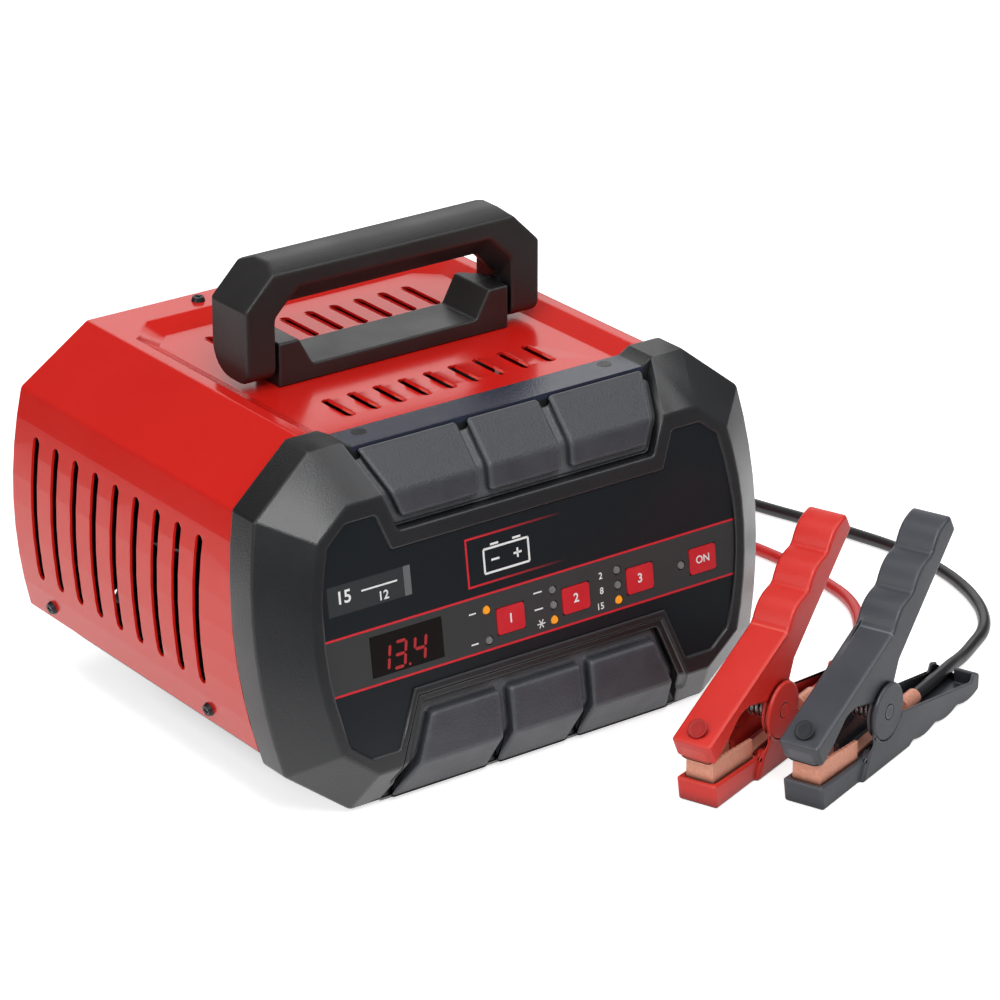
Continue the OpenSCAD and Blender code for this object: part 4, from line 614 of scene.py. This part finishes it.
# The bracket: two lines that fade to the right from an upright one
fade = put(tree, "ShaderNodeMapRange", {
    "Value": across, "From Min": -0.030, "From Max": 0.0155, "To Min": 1, "To Max": 0,
}).outputs["Result"]
lines = result_of(tree, "MAXIMUM", patch(-32.7, 15.5, 103.4, 104.3), patch(-32.4, 15.5, 83.7, 84.6))
lines = result_of(tree, "MULTIPLY", lines, fade)
lines = result_of(tree, "MAXIMUM", lines, patch(-32.7, -31.8, 83.7, 104.3))
colour = tint(tree, lines, colour, LINE_RED)
tree.links.new(colour, shader.inputs["Base Color"])
paint(label_look, "label_panel")

# The print on the label: plain numbers, small signs and a battery outline,
# as thin ink just proud of the plate.
TILT = math.radians(8)
FACE_Y = -105.96
LABEL_BACK = 1.0
INK_LIFT = 0.04
INK_THICK = 0.00004


def on_label(x, z, lift=0.0, back=LABEL_BACK):
    """Where something flat lies on the label plate, in metres"""
    label_front = FACE_Y + math.tan(TILT) * z + (back - lift) / math.cos(TILT)
    place = Matrix.Translation((x / 1000, label_front / 1000, z / 1000))
    return place @ Matrix.Rotation(math.pi / 2 - TILT, 4, "X")


white_ink, tree, shader = finish_of("white ink", (0.75, 0.75, 0.75), 0.45)
vary(tree, shader, surface_on(tree, shader, 3000, 0.000005), 0.4, 0.5)
prints = []


def print_number(text, x, z, size, back=LABEL_BACK, centred=False):
    """A plain number in ink, its lower left corner or its centre at x and z in mm"""
    bpy.ops.object.text_add()
    ink = bpy.context.object
    ink.data.body = text
    ink.data.size = size / 1000
    ink.data.extrude = INK_THICK / 2
    ink.data.offset = size * 0.000018
    ink.data.resolution_u = 4
    if centred:
        ink.data.align_x = "CENTER"
        ink.data.align_y = "CENTER"
    bpy.ops.object.convert(target="MESH")
    ink.data.transform(on_label(x, z, INK_LIFT, back))
    ink.matrix_world = Matrix()
    return ink


def print_bar(x0, z0, x1, z1, thick):
    """A straight stroke of ink between two points"""
    length = math.hypot(x1 - x0, z1 - z0)
    bpy.ops.mesh.primitive_cube_add(size=1)
    ink = bpy.context.object
    ink.data.transform(Matrix.Diagonal((length / 1000, thick / 1000, INK_THICK, 1)))
    ink.data.transform(Matrix.Rotation(math.atan2(z1 - z0, x1 - x0), 4, "Z"))
    ink.data.transform(on_label((x0 + x1) / 2, (z0 + z1) / 2, INK_LIFT))
    prints.append(ink)


for text, x, z, size in (
    ("15", -95.2, 93.4, 7.4), ("12", -75.6, 90.2, 5.2),
    ("2", 31.4, 71.6, 3.9), ("8", 31.4, 65.3, 3.9), ("15", 29.2, 59.0, 3.9),
):
    prints.append(print_number(text, x, z, size))
print_bar(-83.0, 96.2, -66.0, 96.2, 0.7)
for z in (74.0, 67.0):
    print_bar(-1.6, z, 2.6, z, 0.6)
STAR_X, STAR_Z, STAR_RAY = 1.2, 60.7, 2.0
for turn in (0, 60, 120):
    over, up = STAR_RAY * math.cos(math.radians(turn)), STAR_RAY * math.sin(math.radians(turn))
    print_bar(STAR_X - over, STAR_Z - up, STAR_X + over, STAR_Z + up, 0.45)
print_bar(-33.6, 73.3, -30.2, 73.3, 0.6)
print_bar(-33.6, 60.7, -30.2, 60.7, 0.6)
# A battery outline in the bracket: case, two posts, plus and minus.
for stroke in (
    (-24, 88, -2, 88), (-24, 98, -2, 98), (-24, 88, -24, 98), (-2, 88, -2, 98),
    (-20.5, 99.4, -16.5, 99.4), (-9.5, 99.4, -5.5, 99.4),
    (-20.5, 93, -16.5, 93), (-9.5, 93, -5.5, 93), (-7.5, 91, -7.5, 95),
):
    print_bar(*stroke, 0.9)
bpy.ops.object.select_all(action="DESELECT")
for ink in prints:
    ink.select_set(True)
bpy.context.view_layer.objects.active = prints[0]
bpy.ops.object.join()
ink = bpy.context.object
ink.name = "label-print"
ink.matrix_world = Matrix()
ink.data.materials.clear()
ink.data.materials.append(white_ink)
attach(ink, "charger")

# ---- Display ----
# A dark window over a red seven-segment module that reads 13.4. The lit
# segments are thin six-sided bars that lean to the right.
window_look, tree, shader = finish_of("dark window", (0.009, 0.006, 0.006), 0.12, specular_ior_level=0.4)
vary(tree, shader, surface_on(tree, shader, 500, 0.000004, 15), 0.1, 0.16)
paint(window_look, "display_window")
module_look, tree, shader = finish_of("display module", (0.03, 0.008, 0.008), 0.5)
vary(tree, shader, surface_on(tree, shader, 800, 0.00002), 0.45, 0.6)
paint(module_look, "display_module")

glow, tree, shader = finish_of(
    "lit segment", (0.22, 0.010, 0.012), 0.4, emission_color=(1.0, 0.045, 0.055, 1), emission_strength=0.17,
)
vary(tree, shader, surface_on(tree, shader, 1500, 0.00001), 0.35, 0.5)
DIGIT_H, DIGIT_W, DIGIT_LEAN, DIGIT_FOOT = 10.4, 5.2, 0.16, 61.2
SEGMENT_HALF, SEGMENT_GAP, SEGMENT_LIFT = 0.65, 0.5, 0.05
POINT_X, POINT_RADIUS = -63.6, 0.0006
SEGMENTS = {"a": (0, 1, 1, 1), "b": (1, 0.5, 1, 1), "c": (1, 0, 1, 0.5), "d": (0, 0, 1, 0),
            "e": (0, 0, 0, 0.5), "f": (0, 0.5, 0, 1), "g": (0, 0.5, 1, 0.5)}
DIGITS = {"1": "bc", "3": "abcdg", "4": "bcfg"}
lit = []
for digit, left in (("1", -79.0), ("3", -71.2), ("4", -61.6)):
    for name in DIGITS[digit]:
        x0, z0, x1, z1 = SEGMENTS[name]
        (ax, az), (bx, bz) = [
            (left + x * DIGIT_W + z * DIGIT_H * DIGIT_LEAN, DIGIT_FOOT + z * DIGIT_H)
            for x, z in ((x0, z0), (x1, z1))
        ]
        length = math.hypot(bx - ax, bz - az) - SEGMENT_GAP
        bpy.ops.mesh.primitive_circle_add(vertices=6, radius=SEGMENT_HALF, fill_type="NGON")
        bar = bpy.context.object
        mesh = bar.data
        for vertex in mesh.vertices:
            tip = abs(vertex.co.x) < 0.1 * SEGMENT_HALF
            vertex.co = (
                math.copysign(length / 2 - (0 if tip else SEGMENT_HALF), vertex.co.y),
                0 if tip else math.copysign(SEGMENT_HALF, vertex.co.x), 0,
            )
        mesh.transform(Matrix.Scale(0.001, 4))
        mesh.transform(Matrix.Rotation(math.atan2(bz - az, bx - ax), 4, "Z"))
        mesh.transform(on_label((ax + bx) / 2, (az + bz) / 2, SEGMENT_LIFT))
        lit.append(bar)
bpy.ops.mesh.primitive_circle_add(vertices=12, radius=POINT_RADIUS, fill_type="NGON")
point = bpy.context.object
point.data.transform(on_label(POINT_X, DIGIT_FOOT, SEGMENT_LIFT))
lit.append(point)
bpy.ops.object.select_all(action="DESELECT")
for bar in lit:
    bar.select_set(True)
bpy.context.view_layer.objects.active = lit[0]
bpy.ops.object.join()
reading = bpy.context.object
reading.name = "display-reading"
reading.matrix_world = Matrix()
bpy.ops.object.mode_set(mode="EDIT")
bpy.ops.mesh.select_all(action="SELECT")
bpy.ops.mesh.extrude_region_move(TRANSFORM_OT_translate={"value": (0, -0.00003, 0)})
bpy.ops.mesh.select_all(action="SELECT")
bpy.ops.mesh.normals_make_consistent(inside=False)
bpy.ops.object.mode_set(mode="OBJECT")
reading.data.materials.append(glow)
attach(reading, "charger")

# ---- Keys ----
# Four moulded push keys in red, with rounded corners and a small white sign,
# each over a switch on the control board.
key_look, tree, shader = finish_of("red key", (0.60, 0.012, 0.022), 0.38)
mottle = surface_on(tree, shader, 1500, 0.00002, 80)
vary(tree, shader, mottle, 0.32, 0.45, (0.52, 0.010, 0.018), (0.66, 0.016, 0.026))
KEY_ROW = 67
KEY_BACK = 0.7
CAP_SLOPE, CAP_DEPTH = 0.141, 0.4


def cap_corner(a, b):
    """The four upright corners of a cap"""
    return abs(a.z - b.z) < 1.2 and abs(a.y - b.y) > 1.5 and abs(a.x - b.x) < 0.1


def cap_rim(a, b):
    """The edges round a cap's face"""
    return all(end.y < FACE_Y + CAP_SLOPE * end.z + CAP_DEPTH for end in (a, b))


for name, x, text, size in (
    ("display", -13.6, "1", 5.4), ("battery", 19.2, "2", 5.4),
    ("ampere", 52.0, "3", 5.4), ("start", 84.8, "ON", 4.6),
):
    key = merged_copy(f"{name}_key", f"{name}-key-cap")
    soften(key, 0.0012, 4, cap_corner)
    soften(key, 0.0003, 2, cap_rim)
    shade(key, 40)
    stand_for(key, f"{name}_key", key_look, f"{name}_key")
    sign = print_number(text, x, KEY_ROW, size, KEY_BACK, centred=True)
    sign.name = f"{name}-key-sign"
    sign.data.materials.append(white_ink)
    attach(sign, f"{name}_key")

# ---- Indicator lamps ----
# Small round lamps of tinted plastic, set in the label: amber where they are
# lit, dull grey where they aren't.
amber, tree, shader = finish_of(
    "amber lamp", (0.42, 0.15, 0.01), 0.25, emission_color=(1.0, 0.36, 0.02, 1), emission_strength=0.55,
)
vary(tree, shader, surface_on(tree, shader, 900, 0.00002), 0.2, 0.32)
paint(amber, "lit_lamps")
dull, tree, shader = finish_of("unlit lamp", (0.2, 0.2, 0.2), 0.35)
mottle = surface_on(tree, shader, 900, 0.00002, 300)
vary(tree, shader, mottle, 0.3, 0.42, (0.13, 0.13, 0.13), (0.22, 0.22, 0.22))
paint(dull, "unlit_lamps")

# ---- Handle and cradle ----
# A hand-wide grip moulded in dark plastic, turning on two steel pins in the
# cradle that is screwed to the cover.
grip_look, tree, shader = finish_of("handle plastic", (0.018, 0.0165, 0.0165), 0.4, specular_ior_level=0.55)
mottle = surface_on(tree, shader, 1300, 0.00010, 30)
held = vary(tree, shader, mottle, 0.34, 0.48, (0.014, 0.013, 0.013), (0.024, 0.0215, 0.0215))
# Outer edges go paler, for wear and a painted highlight; grooves go near-black as painted shade.
wear_and_highlight, clear = edges_on(tree, 0.0012, 0.012)
colour = tint(tree, result_of(tree, "MULTIPLY", wear_and_highlight, 0.5), held, (0.10, 0.098, 0.10))
colour = tint(tree, clear, (0.004, 0.004, 0.004), colour)
tree.links.new(colour, shader.inputs["Base Color"])
for node, body, width in (("handle", "handle", 0.0013), ("handle_base", "charger", 0.0010)):
    piece = merged_copy(node, node.replace("_", "-") + "-moulded")
    soften(piece, width, 3, sharpest=24)
    shade(piece, 35)
    stand_for(piece, node, grip_look, body)
paint(spring_look, "handle_pins", "fan_guard")

# ---- Inside ----
# Boards, heat sink, transformer, capacitors and fan, seen through the
# louvers and from the rear.
board_look, tree, shader = finish_of("circuit board", (0.02, 0.10, 0.04), 0.4)
mottle = surface_on(tree, shader, 400, 0.00002, 60)
vary(tree, shader, mottle, 0.3, 0.5, (0.014, 0.08, 0.03), (0.03, 0.13, 0.05))
paint(board_look, "power_board", "control_board")
fan_look, tree, shader = finish_of("fan plastic", (0.015, 0.015, 0.015), 0.45)
vary(tree, shader, surface_on(tree, shader, 1000, 0.00003), 0.4, 0.55)
paint(fan_look, "fan_frame", "fan_impeller", "key_switches", "power_transistors")
sink_look, tree, shader = finish_of("drawn aluminium", (0.62, 0.63, 0.65), 0.35, metallic=1)
vary(tree, shader, surface_on(tree, shader, 900, 0.00002, 90), 0.28, 0.45)
paint(sink_look, "heat_sink")
core_look, tree, shader = finish_of("laminated core", (0.06, 0.06, 0.065), 0.55, metallic=0.4)
vary(tree, shader, surface_on(tree, shader, 1500, 0.00004), 0.45, 0.65)
paint(core_look, "transformer_core")
wire_look, tree, shader = finish_of("enamelled wire", (0.55, 0.2, 0.08), 0.3, metallic=0.7)
vary(tree, shader, surface_on(tree, shader, 2500, 0.00008), 0.22, 0.4)
paint(wire_look, "transformer_winding")
sleeve_look, tree, shader = finish_of("capacitor sleeve", (0.015, 0.02, 0.07), 0.25)
vary(tree, shader, surface_on(tree, shader, 600, 0.00001), 0.2, 0.32)
paint(sleeve_look, "capacitors")
post_look, tree, shader = finish_of("nylon post", (0.7, 0.68, 0.6), 0.5)
vary(tree, shader, surface_on(tree, shader, 900, 0.00002), 0.42, 0.58)
paint(post_look, "board_standoffs")

# ---- Floor, world and lamps ----
# A white studio floor and surround, with soft boxes above, at both sides, in
# front and behind on the right.
bpy.ops.mesh.primitive_plane_add(size=8, location=(0, 0, -0.0002))
floor = bpy.context.object
floor.name = "floor"
FLOOR_GLOW, SHADOW_DEPTH = 0.68, 0.66
floor_look = bpy.data.materials.new("studio floor")
floor_look.use_nodes = True
tree = floor_look.node_tree
tree.nodes.clear()
paper = put(tree, "ShaderNodeBsdfDiffuse", {"Color": (0.8, 0.8, 0.8, 1)})
white = put(tree, "ShaderNodeEmission", {"Color": (1, 1, 1, 1), "Strength": FLOOR_GLOW})
both = put(tree, "ShaderNodeAddShader", {0: paper.outputs[0], 1: white.outputs[0]})
path = put(tree, "ShaderNodeLightPath")
where = put(tree, "ShaderNodeTexCoord").outputs["Object"]
spots = put(tree, "ShaderNodeSeparateXYZ", {0: where}).outputs
depth = spots["Y"]
# The floor goes softly into full shadow under the middle of the case.
under = []
for way, clear_of_it, full in ((spots["X"], 0.098, 0.050), (depth, 0.078, 0.030)):
    under.append(put(tree, "ShaderNodeMapRange", {
        "Value": result_of(tree, "ABSOLUTE", way), "From Min": clear_of_it, "From Max": full,
    }).outputs["Result"])
under = result_of(tree, "MULTIPLY", *under)
glow_left = result_of(tree, "MULTIPLY_ADD", under, -SHADOW_DEPTH, FLOOR_GLOW)
tree.links.new(glow_left, white.inputs["Strength"])
beside = put(tree, "ShaderNodeMapRange", {
    "Value": depth, "From Min": -0.30, "From Max": -0.05, "To Min": 0.0, "To Max": 1,
}).outputs["Result"]
reach = put(tree, "ShaderNodeVectorMath", {0: where}, operation="LENGTH").outputs["Value"]
near = put(tree, "ShaderNodeMapRange", {
    "Value": reach, "From Min": 0.35, "From Max": 0.75, "To Min": 1, "To Max": 0.0,
}).outputs["Result"]
gloss = result_of(tree, "MULTIPLY", path.outputs["Is Glossy Ray"], result_of(tree, "MULTIPLY", beside, near))
seen = result_of(tree, "MAXIMUM", path.outputs["Is Camera Ray"], gloss)
black = put(tree, "ShaderNodeBsdfDiffuse", {"Color": (0.12, 0.12, 0.12, 1)})
plain = put(tree, "ShaderNodeMixShader", {
    0: path.outputs["Is Glossy Ray"], 1: paper.outputs[0], 2: black.outputs[0],
})
pick = put(tree, "ShaderNodeMixShader", {0: seen, 1: plain.outputs[0], 2: both.outputs[0]})
put(tree, "ShaderNodeOutputMaterial", {"Surface": pick.outputs[0]})
floor.data.materials.append(floor_look)

world = bpy.data.worlds.new("studio")
bpy.context.scene.world = world
world.use_nodes = True
tree = world.node_tree
tree.nodes.clear()
soft = put(tree, "ShaderNodeBackground", {"Color": (1, 1, 1, 1), "Strength": 0.40})
bright = put(tree, "ShaderNodeBackground", {"Color": (1, 1, 1, 1), "Strength": 1.0})
path = put(tree, "ShaderNodeLightPath")
dim = put(tree, "ShaderNodeBackground", {"Color": (1, 1, 1, 1), "Strength": 0.14})
seen = result_of(tree, "MAXIMUM", path.outputs["Is Camera Ray"], path.outputs["Is Transmission Ray"])
away = put(tree, "ShaderNodeMixShader", {
    0: path.outputs["Is Glossy Ray"], 1: soft.outputs[0], 2: dim.outputs[0],
})
pick = put(tree, "ShaderNodeMixShader", {0: seen, 1: away.outputs[0], 2: bright.outputs[0]})
put(tree, "ShaderNodeOutputWorld", {"Surface": pick.outputs[0]})

LAMPS_AIM = Vector((0.02, -0.02, 0.08))
for name, place, size, power in (
    ("top box", (-0.25, -0.2, 1.6), (1.2, 1.2), 7.5),
    ("left box", (-1.8, -0.3, 0.9), (0.9, 0.9), 8),
    ("key box", (-0.50, -1.36, 1.49), (0.6, 0.6), 13),
    ("right box", (0.97, -0.91, 1.55), (0.9, 0.9), 6),
    ("rear box", (1.25, 1.75, 1.25), (2.2, 1.4), 12),
):
    bpy.ops.object.light_add(type="AREA", location=place)
    lamp = bpy.context.object
    lamp.name = name
    lamp.data.shape = "RECTANGLE"
    lamp.data.size, lamp.data.size_y = size
    lamp.data.energy = power
    aim = LAMPS_AIM - Vector(place)
    lamp.rotation_euler = aim.to_track_quat("-Z", "Y").to_euler()
